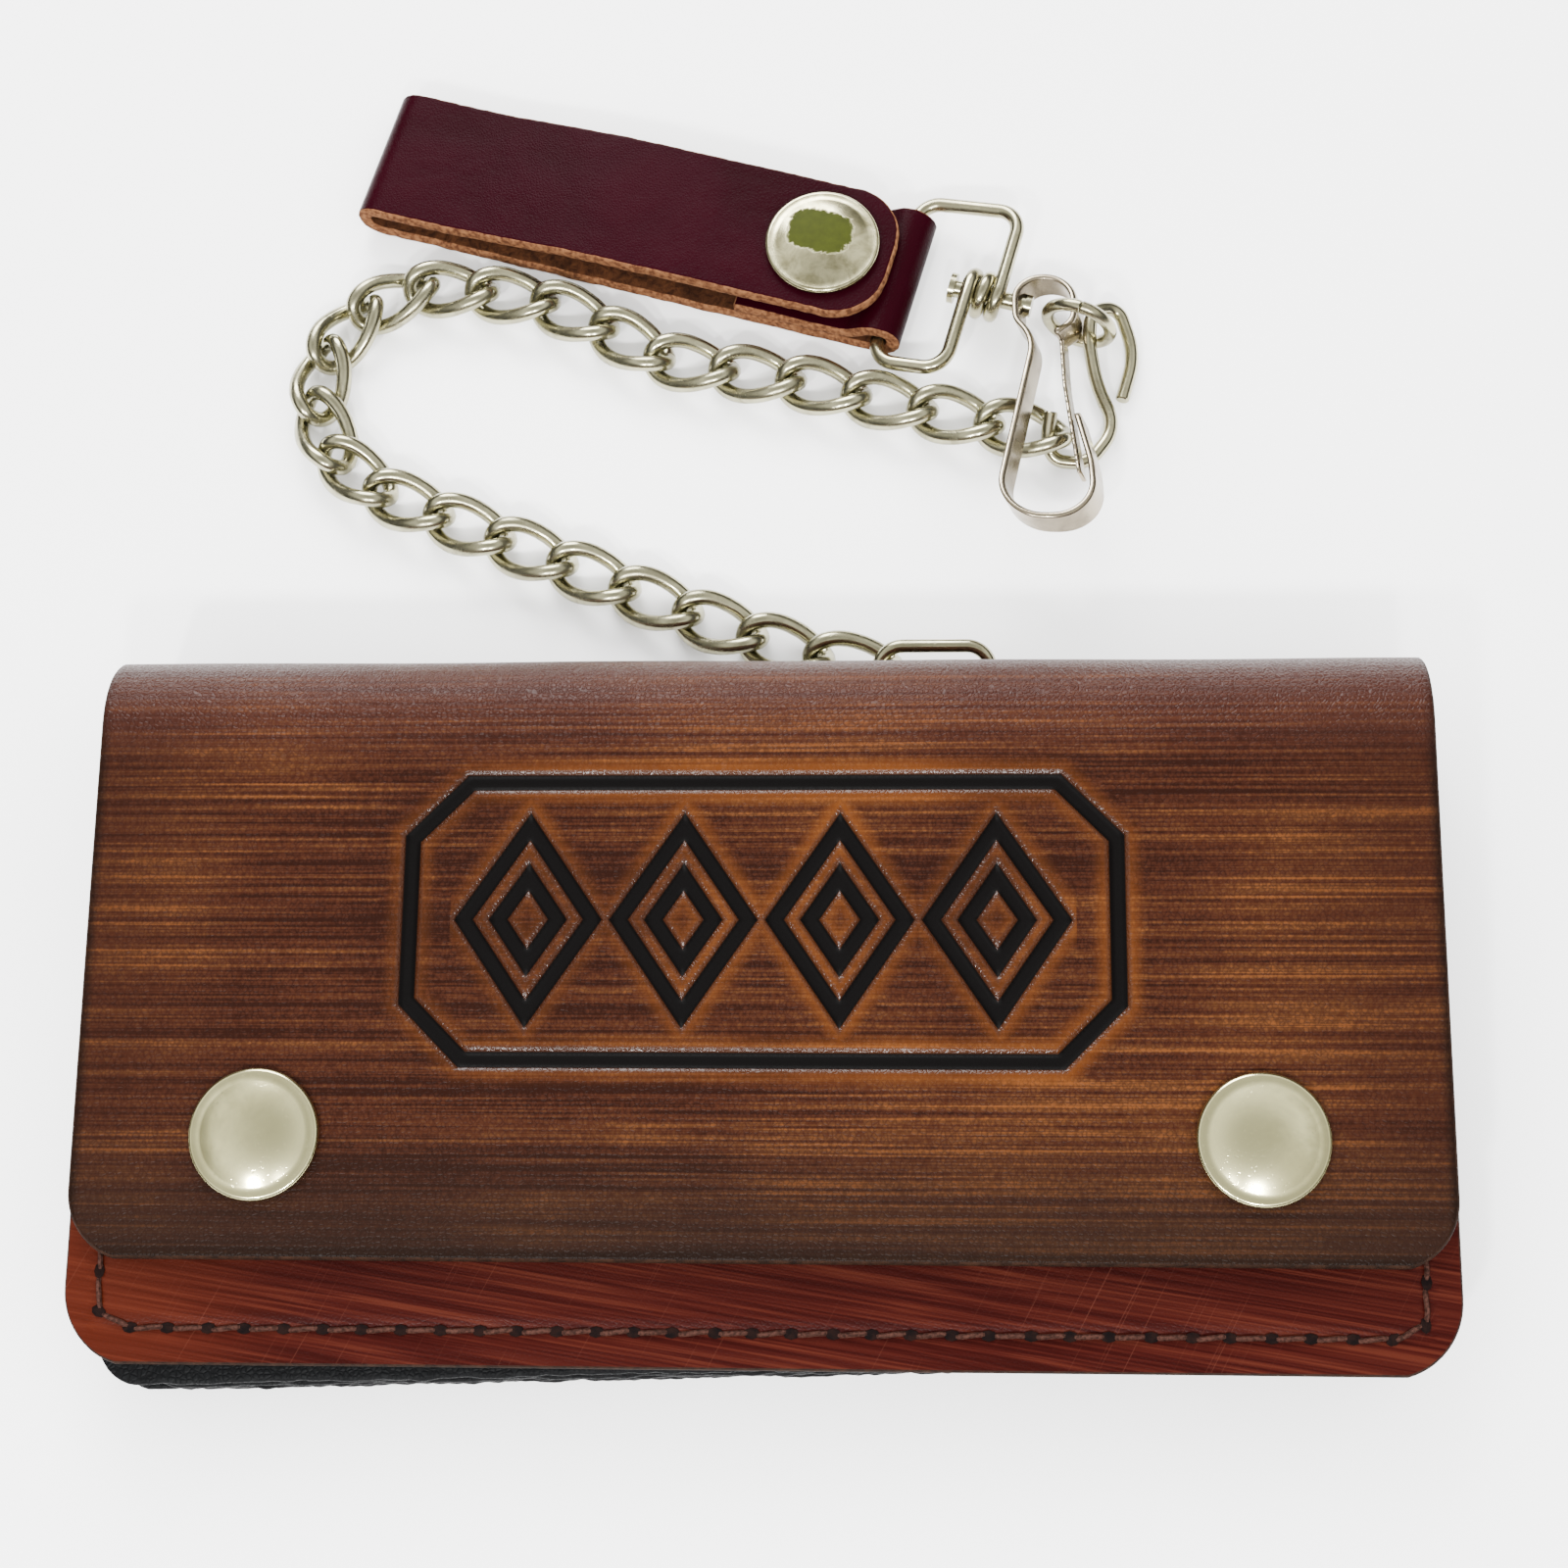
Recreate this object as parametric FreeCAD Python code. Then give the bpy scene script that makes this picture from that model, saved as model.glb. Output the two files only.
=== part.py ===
"""Long leather wallet with a snapped flap, a curb chain, a snap clip and a belt strap.

Frame: millimetres, +Z up. The wallet lies on its back on the plane Z = 0, its fold along +Y.
The origin is the middle of the back panel's outer face.
"""
import FreeCAD
import Part
import math
import os

V = FreeCAD.Vector
X_AXIS, Y_AXIS, Z_AXIS = V(1, 0, 0), V(0, 1, 0), V(0, 0, 1)

# ------------------------------------------------------------------ driving dimensions
# Outer cover: back, spine and flap are one strip of leather, bent twice.
COVER_WIDTH = 165.0
COVER_LEATHER = 2.4
BACK_EDGE_Y = -42.5
SPINE_Y = 44.0
LOWER_BEND = 11.0
UPPER_BEND = 10.0
FLAP_EDGE_Y = -32.5
FLAP_EDGE_TOP = 15.5
FLAP_SLOPE = 5.76
FLAP_CORNER = 8.0

# Front panel, the strip that shows below the flap, and its lining.
FRONT_WIDTH = 166.0
FRONT_EDGE_Y = -44.3
FRONT_LENGTH = 74.5
FRONT_LEATHER = 2.0
FRONT_CORNER = 9.0
FLAP_GAP = 0.42
LINING = 1.0

# Pockets inside, all of thin black leather with a lower edge that runs askew.
INNER_WIDTH = 158.0
INNER_EDGE_LEFT = -47.0
INNER_EDGE_RIGHT = -42.0
INNER_CORNER = 6.0
BACK_LINING_TOP = 24.0
CARD_LEATHER = 0.8
CARD_TOPS = (6.0, -8.0)
COIN_WIDTH = 150.0
COIN_LEATHER = 1.0
COIN_TOP = 28.0
COIN_MOUTH = 3.8
GUSSET_INSET = 1.5
GUSSET_DEPTH = 4.2
GUSSET_LEATHER = 1.0
GUSSET_SPAN = (-40.0, 25.0)

# Coin pocket zipper.
ZIP_LENGTH = 140.0
ZIP_TAPE = 0.6
ZIP_SPLIT = 0.3
ZIP_PITCH = 4.8
ZIP_TOOTH = (2.0, 1.2, 0.9)
ZIP_OVERLAP = 0.4
ZIP_RUN_CLEARANCE = 0.3
SLIDER_LENGTH = 8.0
SLIDER_WALL = 0.6
SLIDER_FRONT_WALL = 1.0
SLIDER_START_X = 62.0
EAR_HALF_LENGTH = 1.1
EAR_REACH = 0.8
EAR_GAP = 0.9
PULL_PIN = 1.0
PULL_PIN_CLEARANCE = 0.1
PULL_PIN_STANDOFF = 0.95
PULL_LENGTH = 12.0
PULL_THICK = 0.8
PULL_EYE_RADIUS = 0.85
PULL_SIDE_CLEARANCE = 0.2

# Snap fasteners, line 24.
CAP_DIAMETER = 15.9
CAP_HEIGHT = 2.3
CAP_RIM = 0.55
CAP_RIM_BEVEL = 0.3
CAP_BARREL = 3.4
CAP_DOME_STEPS = (0.66,)
SNAP_X = 60.0
SNAP_Y = 27.0
SOCKET_DIAMETER = 12.0
SOCKET_HEIGHT = 1.45
STUD_FLANGE = 10.0
STUD_FLANGE_THICK = 0.7
STUD_HEAD = 4.2
STUD_HEIGHT = 1.55
SNAP_CLEARANCE = 0.2
SEAT_CLEARANCE = 0.05

# Leather tab, rivet and ring that hold the chain, low on the spine.
TAB_X = 21.8
TAB_WIDTH = 11.0
TAB_LEATHER = 1.0
TAB_INSIDE_Y = 27.0
TAB_DIP_Y = 35.5
TAB_DIP_RUN = 1.6
TAB_CLEARANCE = 0.15
SLIT_START_Y = 33.0
TAB_DIP_RADII = (3.0, 1.5)
D_WIRE = 1.8
D_WIDTH = 14.8
D_HEIGHT = 6.6
D_BAR_Y = 43.5
D_BAR_Z = 2.45
D_TILT = 28.0
D_BAR_CORNER = 1.4
D_ARC = 3.2
D_BAR_PLAY = 0.15
D_GRIP = 4.0
D_CUT = 0.2
RIVET_HEAD = 7.0
RIVET_HEAD_THICK = 0.8
RIVET_FROM_END = 3.8
RIVET_SHANK = 3.0

# Curb chain: each link is an oval of round wire, twisted about its length.
LINK_WIRE = 2.15
LINK_PITCH = 9.4
LINK_PITCH_SLACK = 8.4
LINK_HALF_WIDTH = 3.2
LINK_PLAY = 0.3
LINK_TWIST = 50.0
LINK_SQUARENESS = 2.45
LINK_SEGMENTS = 14
LINK_SIDES = 6
LINK_CUT_AT = 25.0
LINK_CUT = 3.0
CHAIN_Z = 2.62
CHAIN_TAIL = (168, 160, 159, 157, 157, 157, 157, 157)
CHAIN_BEND = (140, 112, 83, 53, 24, -5)
CHAIN_LEAD = (-11, -26, -32, -12, -10, -15, -14, -14, -12)

# Every bent wire is drawn as flat facets; hand bends take a share of their shorter run.
WIRE_SIDES = 6
BEND_STEP = 26.0
BEND_SHARE = 0.45
NEARLY_UPRIGHT = 0.8
TINY = 1e-6

# S-hook, jump ring and snap clip, placed from the chain's last joint.
HOOK_WIRE = 1.9
HOOK_ROUTE = (
    (9.1, 6.3, 1.0), (11.0, 13.0, 1.3), (8.8, 19.8, 2.4), (5.0, 18.4, 4.2), (4.5, 13.8, 3.9),
    (5.6, 8.2, 1.3), (8.2, 2.0, 1.0), (4.2, -3.4, 1.0), (-0.6, -2.9, 1.0), (-1.4, 0.1, 2.4),
    (-0.9, 2.9, 3.9),
)
JUMP_WIRE = 1.8
JUMP_RADIUS = 4.5
JUMP_OFFSET = V(3.1, 15.7, 0)
JUMP_HEADING = -20.0
JUMP_CUT = 3.0
JUMP_SEGMENTS = 18
JUMP_LIFT = 0.02
CLIP_OFFSET = V(-1.0, 18.9, 0)
CLIP_STRIP = 0.9
CLIP_WIDTH = 3.6
CLIP_LIFT = 9.5
CLIP_Z = 4.3
CLIP_HEAD = 4.0
CLIP_ROUTE = (
    (1.4, -5.6, 0), (4.0, -3.6, 3.0), (4.0, 4.0, 3.9), (-4.0, 4.0, 3.9), (-4.0, -3.2, 3.0),
    (-1.5, -6.4, 6.0), (-7.6, -35.6, 5.5), (5.9, -35.8, 5.5), (5.5, -27.0, 12.0), (3.9, -19.4, 0),
)
GATE_STRIP = 0.6
GATE_WIDTH = 2.6
GATE_ROUTE = ((2.0, -6.4, 0), (2.2, -14.0, 30.0), (3.7, -28.5, 0))
POST_RADIUS = 1.2
POST_HEAD_RADIUS = 2.1
POST_HEAD = 0.8
POST_CLEARANCE = 0.06
POST_INNER_RADIUS = 1.5
POST_INNER_PLAY = 0.45

# Rectangular ring with its coil around the clip's post.
RING_WIRE = 2.0
RING_WIDTH = 12.4
RING_HEIGHT = 25.8
RING_CORNER = 3.2
COIL_RADIUS = 2.45
COIL_TURNS = 2
COIL_PITCH = 2.12
COIL_STEPS = 14
RING_SHIFT = 0.7
RING_SPREAD = 2.2
RING_CUT = 0.2

# Belt strap, folded in half and closed by a snap.
STRAP_WIDTH = 20.0
STRAP_LEATHER = 1.9
STRAP_HEADING = -15.7
STRAP_BAR_AT = 76.1
STRAP_WRAP = 1.25
STRAP_PLY_GAP = 0.05
STRAP_FOLD = 2.6
STRAP_TIP_CORNER = 7.0
STRAP_WAVE = (14.0, 33.0)
STRAP_WAVE_RADIUS = 60.0
STRAP_SAG = 0.2
WRAP_RUN = 1.2
TAIL_RISE_AT = 71.6
STRAP_EASE = 3.0
STRAP_SNAP_AT = 65.5
STRAP_FLAT_MARGIN = 2.0
STRAP_TAIL_AT = 55.0
STRAP_TIP_AT = 75.5
POST_Z = 3.45
HEAD_FROM_BAR = 21.5

os.makedirs("parts", exist_ok=True)


# ------------------------------------------------------------------ small tools
def placed(shape, origin, u_dir=X_AXIS, v_dir=Y_AXIS):
    """Move a shape so that its local X, Y and origin become u_dir, v_dir and origin."""
    w_dir = u_dir.cross(v_dir)
    matrix = FreeCAD.Matrix(u_dir.x, v_dir.x, w_dir.x, origin.x,
                            u_dir.y, v_dir.y, w_dir.y, origin.y,
                            u_dir.z, v_dir.z, w_dir.z, origin.z, 0, 0, 0, 1)
    copy = shape.copy()
    copy.Placement = FreeCAD.Placement(matrix).multiply(copy.Placement)
    return copy


def box(low, high):
    """Box between two corners."""
    return Part.makeBox(high[0] - low[0], high[1] - low[1], high[2] - low[2], V(*low))


def disc(radius, height, base=V(0, 0, 0), axis=Z_AXIS):
    """Plain cylinder."""
    return Part.makeCylinder(radius, height, base, axis)


def filleted(points, radii):
    """Lines and arcs of a flat route: each inner point is rounded with its radius."""
    pieces = []
    last = V(*points[0], 0)
    for index in range(1, len(points)):
        corner = V(*points[index], 0)
        radius = radii[index]
        if index == len(points) - 1 or radius == 0:
            pieces.append(("line", last, corner))
            last = corner
            continue
        before = (corner - V(*points[index - 1], 0)).normalize()
        after = (V(*points[index + 1], 0) - corner).normalize()
        turn = math.atan2(before.cross(after).z, before.dot(after))
        reach = radius * math.tan(abs(turn) / 2)
        start = corner - before * reach
        side = 1 if turn > 0 else -1
        centre = start + V(-before.y, before.x, 0) * radius * side
        if (start - last).dot(before) > TINY:
            pieces.append(("line", last, start))
        angle = math.atan2(start.y - centre.y, start.x - centre.x)
        pieces.append(("arc", centre, radius, angle, turn))
        last = corner + after * reach
    return pieces


def halves(arc):
    """Cut an arc of a route in the middle."""
    kind, centre, radius, angle, turn = arc
    return ((kind, centre, radius, angle, turn / 2),
            (kind, centre, radius, angle + turn / 2, turn / 2))


def offset_edges(route, offset):
    """Edges of a route moved to its left by an offset, in order."""
    edges = []
    for piece in route:
        if piece[0] == "line":
            start, end = piece[1], piece[2]
            along = (end - start).normalize()
            side = V(-along.y, along.x, 0) * offset
            edges.append((start + side, None, end + side))
            continue
        centre, radius, angle, turn = piece[1:]
        reach = radius - offset * (1 if turn > 0 else -1)
        spots = [centre + V(math.cos(angle + turn * part), math.sin(angle + turn * part), 0) * reach
                 for part in (0, 0.5, 1)]
        edges.append(tuple(spots))
    return edges


def edge_shape(start, middle, end):
    """Straight edge, or an arc through a middle point."""
    if middle is None:
        return Part.LineSegment(start, end).toShape()
    return Part.Arc(start, middle, end).toShape()


def ribbon(route, low, high, width):
    """Strip whose section lies between two offsets of a flat route; its width is centred on Z = 0."""
    lower = offset_edges(route, low)
    upper = offset_edges(route, high)
    edges = [edge_shape(*spots) for spots in lower]
    edges.append(edge_shape(lower[-1][2], None, upper[-1][2]))
    edges += [edge_shape(end, middle, start) for start, middle, end in reversed(upper)]
    edges.append(edge_shape(upper[0][0], None, lower[0][0]))
    face = Part.Face(Part.Wire(edges))
    strip = face.extrude(V(0, 0, width))
    strip.translate(V(0, 0, -width / 2))
    return strip


def filled(route, offset, width):
    """Solid between a flat route's offset and the straight line that joins its ends."""
    edges = offset_edges(route, offset)
    shapes = [edge_shape(*spots) for spots in edges]
    shapes.append(edge_shape(edges[-1][2], None, edges[0][0]))
    block = Part.Face(Part.Wire(shapes)).extrude(V(0, 0, width))
    block.translate(V(0, 0, -width / 2))
    return block


def across(shape, x_centre=0.0):
    """Stand a ribbon drawn in (Y, Z) into the wallet, its width along X."""
    return placed(shape, V(x_centre, 0, 0), Y_AXIS, Z_AXIS)


def rounded(points, radii):
    """Flat face inside a closed outline whose corners are rounded."""
    middle = tuple((points[0][axis] + points[-1][axis]) / 2 for axis in (0, 1))
    route = filleted([middle] + list(points) + [middle], [0] + list(radii) + [0])
    edges = [edge_shape(*spots) for spots in offset_edges(route, 0)]
    return Part.Face(Part.Wire(edges))


def sheet(width, low_left, low_right, top, corner, thick, base=0.0):
    """Flat sheet with rounded lower corners and a lower edge that may run askew."""
    half = width / 2
    face = rounded([(-half, top), (-half, low_left), (half, low_right), (half, top)],
                   [0, corner, corner, 0])
    plate = face.extrude(V(0, 0, thick))
    plate.translate(V(0, 0, base))
    return plate


def bent_points(points, radii):
    """Points along a spatial route with each inner corner rounded by its radius."""
    spots = [V(*points[0])]
    for index in range(1, len(points) - 1):
        corner = V(*points[index])
        before = (corner - V(*points[index - 1])).normalize()
        after = (V(*points[index + 1]) - corner).normalize()
        turn = before.getAngle(after)
        radius = radii[index]
        if radius == 0 or turn < TINY:
            spots.append(corner)
            continue
        start = corner - before * radius * math.tan(turn / 2)
        inward = (after - before * before.dot(after)).normalize()
        centre = start + inward * radius
        count = max(2, math.ceil(math.degrees(turn) / BEND_STEP))
        for part in range(count + 1):
            angle = turn * part / count
            spots.append(centre - inward * radius * math.cos(angle) + before * radius * math.sin(angle))
    spots.append(V(*points[-1]))
    return spots


def natural_radii(points):
    """Radii that round a hand-bent wire as softly as its two runs allow."""
    radii = [0.0]
    for index in range(1, len(points) - 1):
        before = V(*points[index]) - V(*points[index - 1])
        after = V(*points[index + 1]) - V(*points[index])
        turn = before.getAngle(after)
        radii.append(BEND_SHARE * min(before.Length, after.Length) / math.tan(turn / 2))
    return radii + [0.0]


def wire_solid(points, diameter, sides=WIRE_SIDES, looped=False):
    """Bent wire: straight facets that meet on mitred planes, flat at both ends.

    The ends of a looped wire face each other across its cut.
    """
    runs = [(points[i + 1] - points[i]).normalize() for i in range(len(points) - 1)]
    spare = Z_AXIS if abs(runs[0].z) < NEARLY_UPRIGHT else X_AXIS
    across_cut = (points[0] - points[-1]).normalize()
    end_planes = (across_cut, across_cut) if looped else (runs[0], runs[-1])
    first = runs[0].cross(spare).normalize()
    second = runs[0].cross(first)
    angles = [2 * math.pi * (k + 0.5) / sides for k in range(sides)]
    ring = [points[0] + (first * math.cos(a) + second * math.sin(a)) * (diameter / 2) for a in angles]
    planes = [end_planes[0]] + [before + after for before, after in zip(runs, runs[1:])] + [end_planes[1]]
    rings = []
    for spot, run, plane in zip(points, runs[:1] + runs, planes):
        ring = [p + run * ((spot - p).dot(plane) / run.dot(plane)) for p in ring]
        rings.append(ring)
    faces = [polygon(rings[0]), polygon(rings[-1])]
    for near, far in zip(rings, rings[1:]):
        for k in range(sides):
            after = (k + 1) % sides
            faces.append(polygon([near[k], near[after], far[after], far[k]]))
    return outward(Part.Solid(Part.Shell(faces)))


def polygon(corners):
    """Flat face through corners in order."""
    return Part.Face(Part.makePolygon(list(corners) + [corners[0]]))


def outward(solid):
    """Turn a closed solid the right way out."""
    if solid.Volume < 0:
        solid.reverse()
    return solid


def save(name, solids):
    """Write one node."""
    shape = solids if isinstance(solids, Part.Shape) else Part.makeCompound(list(solids))
    shape.exportStep("parts/" + name + ".step")


def heading(degrees):
    """Level unit vector at an angle from +X."""
    return V(math.cos(math.radians(degrees)), math.sin(math.radians(degrees)), 0)


# ------------------------------------------------------------------ frames of the sub-assemblies
SLOPE = math.radians(FLAP_SLOPE)
LID_Y = V(0, math.cos(SLOPE), math.sin(SLOPE))


def flap_top(y):
    """Height of the closed flap's outer face."""
    return FLAP_EDGE_TOP + math.tan(SLOPE) * (y - FLAP_EDGE_Y)


def lid_origin():
    """Point of the front panel's underside at its free edge."""
    below = (COVER_LEATHER + FLAP_GAP + FRONT_LEATHER) / math.cos(SLOPE)
    return V(0, FRONT_EDGE_Y, flap_top(FRONT_EDGE_Y) - below)


LID = lid_origin()
SNAP_SPOTS = [V(side * SNAP_X, SNAP_Y, 0) for side in (-1, 1)]


def on_lid(shape):
    """Place a shape drawn on the front panel's underside plane."""
    return placed(shape, LID, X_AXIS, LID_Y)


# ------------------------------------------------------------------ snap fasteners
def snap_cap(seat, barrel):
    """Domed cap with a rolled rim; it sits on Z = seat and its barrel reaches down."""
    radius = CAP_DIAMETER / 2
    crown = radius - CAP_RIM
    shoulder = seat + CAP_RIM * 2
    rise = CAP_HEIGHT - CAP_RIM * 2
    corners = [(0, seat - barrel), (CAP_BARREL / 2, seat - barrel), (CAP_BARREL / 2, seat), (crown, seat),
               (radius, seat + CAP_RIM * (1 - CAP_RIM_BEVEL)),
               (radius, seat + CAP_RIM * (1 + CAP_RIM_BEVEL)), (crown, shoulder)]
    corners += [(crown * part, shoulder + rise * (1 - part ** 2)) for part in CAP_DOME_STEPS]
    corners += [(0, seat + CAP_HEIGHT), corners[0]]
    spots = [V(r, 0, z) for r, z in corners]
    profile = [edge_shape(a, None, b) for a, b in zip(spots, spots[1:])]
    face = Part.Face(Part.Wire(profile))
    return outward(face.revolve(V(0, 0, 0), Z_AXIS, 360))


def snap_socket(top):
    """Ring with the hole that grips the stud; its upper face is at Z = top."""
    bore = STUD_HEAD / 2 + SNAP_CLEARANCE
    ring = disc(SOCKET_DIAMETER / 2, SOCKET_HEIGHT, V(0, 0, top - SOCKET_HEIGHT))
    return ring.cut(disc(bore, SOCKET_HEIGHT * 2, V(0, 0, top - SOCKET_HEIGHT * 1.5)))


def snap_stud(seat):
    """Stud with a flange sunk below Z = seat and a head standing above it."""
    flange = disc(STUD_FLANGE / 2, STUD_FLANGE_THICK, V(0, 0, seat - STUD_FLANGE_THICK))
    head = disc(STUD_HEAD / 2, STUD_HEIGHT + STUD_FLANGE_THICK, V(0, 0, seat - STUD_FLANGE_THICK))
    return flange.fuse(head).removeSplitter()


# ------------------------------------------------------------------ cover
def cover_route():
    """Outer face of the bent cover in (Y, Z), from the back's edge over the spine to the flap's edge."""
    top_corner = flap_top(SPINE_Y)
    points = [(BACK_EDGE_Y, 0), (SPINE_Y, 0), (SPINE_Y, top_corner), (FLAP_EDGE_Y, FLAP_EDGE_TOP)]
    return filleted(points, [0, LOWER_BEND, UPPER_BEND, 0])


def tab_route():
    """Middle of the folded tab in (Y, Z): inside, out through the slit, round the ring's bar and back."""
    wrap = D_WIRE / 2 + D_BAR_PLAY + TAB_LEATHER / 2
    lower = COVER_LEATHER + TAB_LEATHER / 2 + SEAT_CLEARANCE
    upper = D_BAR_Z + wrap
    points = [(TAB_INSIDE_Y, lower), (TAB_DIP_Y, lower), (D_BAR_Y - TAB_DIP_RUN, D_BAR_Z - wrap),
              (D_BAR_Y + wrap, D_BAR_Z - wrap), (D_BAR_Y + wrap, upper), (TAB_INSIDE_Y, upper)]
    return filleted(points, [0, *TAB_DIP_RADII, wrap, wrap, 0])


def rivet_spot():
    """Middle of the rivet through the tab's inner end."""
    return V(TAB_X, TAB_INSIDE_Y + RIVET_FROM_END, 0)


def build_cover():
    """Back panel, spine and flap, with the slit for the tab and the holes for the snaps."""
    back_line, lower_arc, spine_line, upper_arc, flap_line = cover_route()
    lower_halves, upper_halves = halves(lower_arc), halves(upper_arc)
    back = across(ribbon([back_line, lower_halves[0]], 0, COVER_LEATHER, COVER_WIDTH))
    spine = across(ribbon([lower_halves[1], spine_line, upper_halves[0]], 0, COVER_LEATHER, COVER_WIDTH))
    flap = across(ribbon([upper_halves[1], flap_line], 0, COVER_LEATHER, COVER_WIDTH))

    plan = sheet(COVER_WIDTH, FLAP_EDGE_Y, FLAP_EDGE_Y, SPINE_Y, FLAP_CORNER, FLAP_EDGE_TOP * 2)
    flap = flap.common(plan)
    back_plan = sheet(COVER_WIDTH, BACK_EDGE_Y, BACK_EDGE_Y, SPINE_Y, FLAP_CORNER, SPINE_Y)
    back = back.common(back_plan)

    slit = filled(tab_route(), -TAB_LEATHER / 2 - TAB_CLEARANCE, TAB_WIDTH + 2 * TAB_CLEARANCE)
    slit = across(slit, TAB_X)
    slit = slit.common(box((0, SLIT_START_Y, 0), (COVER_WIDTH / 2, SPINE_Y, SPINE_Y)))
    rivet = rivet_spot()
    head_seat = disc(RIVET_HEAD / 2 + SEAT_CLEARANCE, RIVET_HEAD_THICK + SEAT_CLEARANCE, rivet)
    shank_hole = disc(RIVET_SHANK / 2 + SEAT_CLEARANCE, COVER_LEATHER, rivet)
    back = back.cut(slit).cut(head_seat).cut(shank_hole)
    spine = spine.cut(slit)

    flap_seat = FRONT_LEATHER + FLAP_GAP
    for spot in SNAP_SPOTS:
        recess = disc(SOCKET_DIAMETER / 2 + SEAT_CLEARANCE, SOCKET_HEIGHT + 2 * SEAT_CLEARANCE,
                      spot + V(0, 0, flap_seat - SEAT_CLEARANCE))
        hole = disc(CAP_BARREL / 2 + SEAT_CLEARANCE, COVER_LEATHER * 2,
                    spot + V(0, 0, flap_seat - SOCKET_HEIGHT))
        flap = flap.cut(on_lid(recess)).cut(on_lid(hole))
    return back, spine, flap


def build_front():
    """Front panel with the seats of its studs, and the lining under it."""
    panel = sheet(FRONT_WIDTH, 0, 0, FRONT_LENGTH, FRONT_CORNER, FRONT_LEATHER)
    for spot in SNAP_SPOTS:
        seat = V(spot.x, spot.y, FRONT_LEATHER - STUD_FLANGE_THICK - SEAT_CLEARANCE)
        panel = panel.cut(disc(STUD_FLANGE / 2 + SEAT_CLEARANCE, FRONT_LEATHER, seat))
    lining = sheet(INNER_WIDTH, INNER_EDGE_LEFT - FRONT_EDGE_Y, INNER_EDGE_RIGHT - FRONT_EDGE_Y,
                   FRONT_LENGTH, INNER_CORNER, LINING, -LINING)
    return on_lid(panel), on_lid(lining)


def build_flap_snaps():
    """Caps and sockets on the flap, studs on the front panel."""
    flap_under = FRONT_LEATHER + FLAP_GAP
    flap_outer = flap_under + COVER_LEATHER
    socket_top = flap_under + SOCKET_HEIGHT
    caps, sockets, studs = [], [], []
    for spot in SNAP_SPOTS:
        cap = snap_cap(flap_outer, flap_outer - socket_top)
        socket = snap_socket(socket_top)
        stud = snap_stud(FRONT_LEATHER)
        for group, piece in ((caps, cap), (sockets, socket), (studs, stud)):
            piece.translate(spot)
            group.append(on_lid(piece))
    return caps, sockets, studs


# ------------------------------------------------------------------ inside
def build_pockets():
    """Back lining, two card pockets and the two walls of the coin pocket, from the back up."""
    level = COVER_LEATHER
    lining = sheet(INNER_WIDTH, INNER_EDGE_LEFT, INNER_EDGE_RIGHT, BACK_LINING_TOP, INNER_CORNER,
                   LINING, level)
    level += LINING
    cards = []
    for top in CARD_TOPS:
        cards.append(sheet(COIN_WIDTH, INNER_EDGE_LEFT, INNER_EDGE_RIGHT, top, INNER_CORNER,
                           CARD_LEATHER, level))
        level += CARD_LEATHER
    coin_back = sheet(COIN_WIDTH, INNER_EDGE_LEFT, INNER_EDGE_RIGHT, COIN_TOP, INNER_CORNER,
                      COIN_LEATHER, level)
    level += COIN_LEATHER
    reach = COIN_TOP - INNER_EDGE_LEFT
    lean = math.atan2(COIN_MOUTH, reach)
    face = sheet(COIN_WIDTH, 0, INNER_EDGE_RIGHT - INNER_EDGE_LEFT, reach / math.cos(lean), INNER_CORNER,
                 COIN_LEATHER)
    coin_front = placed(face, V(0, INNER_EDGE_LEFT, level), X_AXIS, V(0, math.cos(lean), math.sin(lean)))
    return lining, cards, coin_back, coin_front, level


def gusset(side):
    """Folded side wall between the back panel and the front panel, wider towards the mouth."""
    floor = COVER_LEATHER
    outer = COVER_WIDTH / 2 - GUSSET_INSET
    inner = outer - GUSSET_DEPTH
    stations = []
    for y in GUSSET_SPAN:
        top = LID.z + math.tan(SLOPE) * (y - FRONT_EDGE_Y) - SEAT_CLEARANCE
        middle = (floor + top) / 2
        corners = [(outer, floor), (outer, floor + GUSSET_LEATHER), (inner + GUSSET_LEATHER, middle),
                   (outer, top - GUSSET_LEATHER), (outer, top), (inner, middle)]
        stations.append([V(side * x, y, z) for x, z in corners])
    near, far = stations
    faces = [polygon(near), polygon(far)]
    for k in range(len(near)):
        after = (k + 1) % len(near)
        faces.append(polygon([near[k], near[after], far[after]]))
        faces.append(polygon([near[k], far[after], far[k]]))
    return outward(Part.Solid(Part.Shell(faces)))


def build_zipper(floor):
    """Tapes and teeth that close the coin pocket's mouth, and the height of the line where they meet."""
    half = ZIP_LENGTH / 2
    ceiling = floor + COIN_MOUTH - SEAT_CLEARANCE
    middle = (floor + ceiling) / 2
    length, depth, tall = ZIP_TOOTH
    tapes = [box((-half, COIN_TOP - ZIP_TAPE, floor), (half, COIN_TOP, middle - ZIP_SPLIT)),
             box((-half, COIN_TOP - ZIP_TAPE, middle + ZIP_SPLIT), (half, COIN_TOP, ceiling))]
    teeth = []
    for index in range(int(ZIP_LENGTH / ZIP_PITCH)):
        x = -half + ZIP_PITCH / 4 + ZIP_PITCH * index
        starts = ((x, middle + ZIP_OVERLAP / 2 - tall), (x + ZIP_PITCH / 2, middle - ZIP_OVERLAP / 2))
        for start, low in starts:
            teeth.append(box((start, COIN_TOP, low), (start + length, COIN_TOP + depth, low + tall)))
    return tapes, teeth, middle


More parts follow.
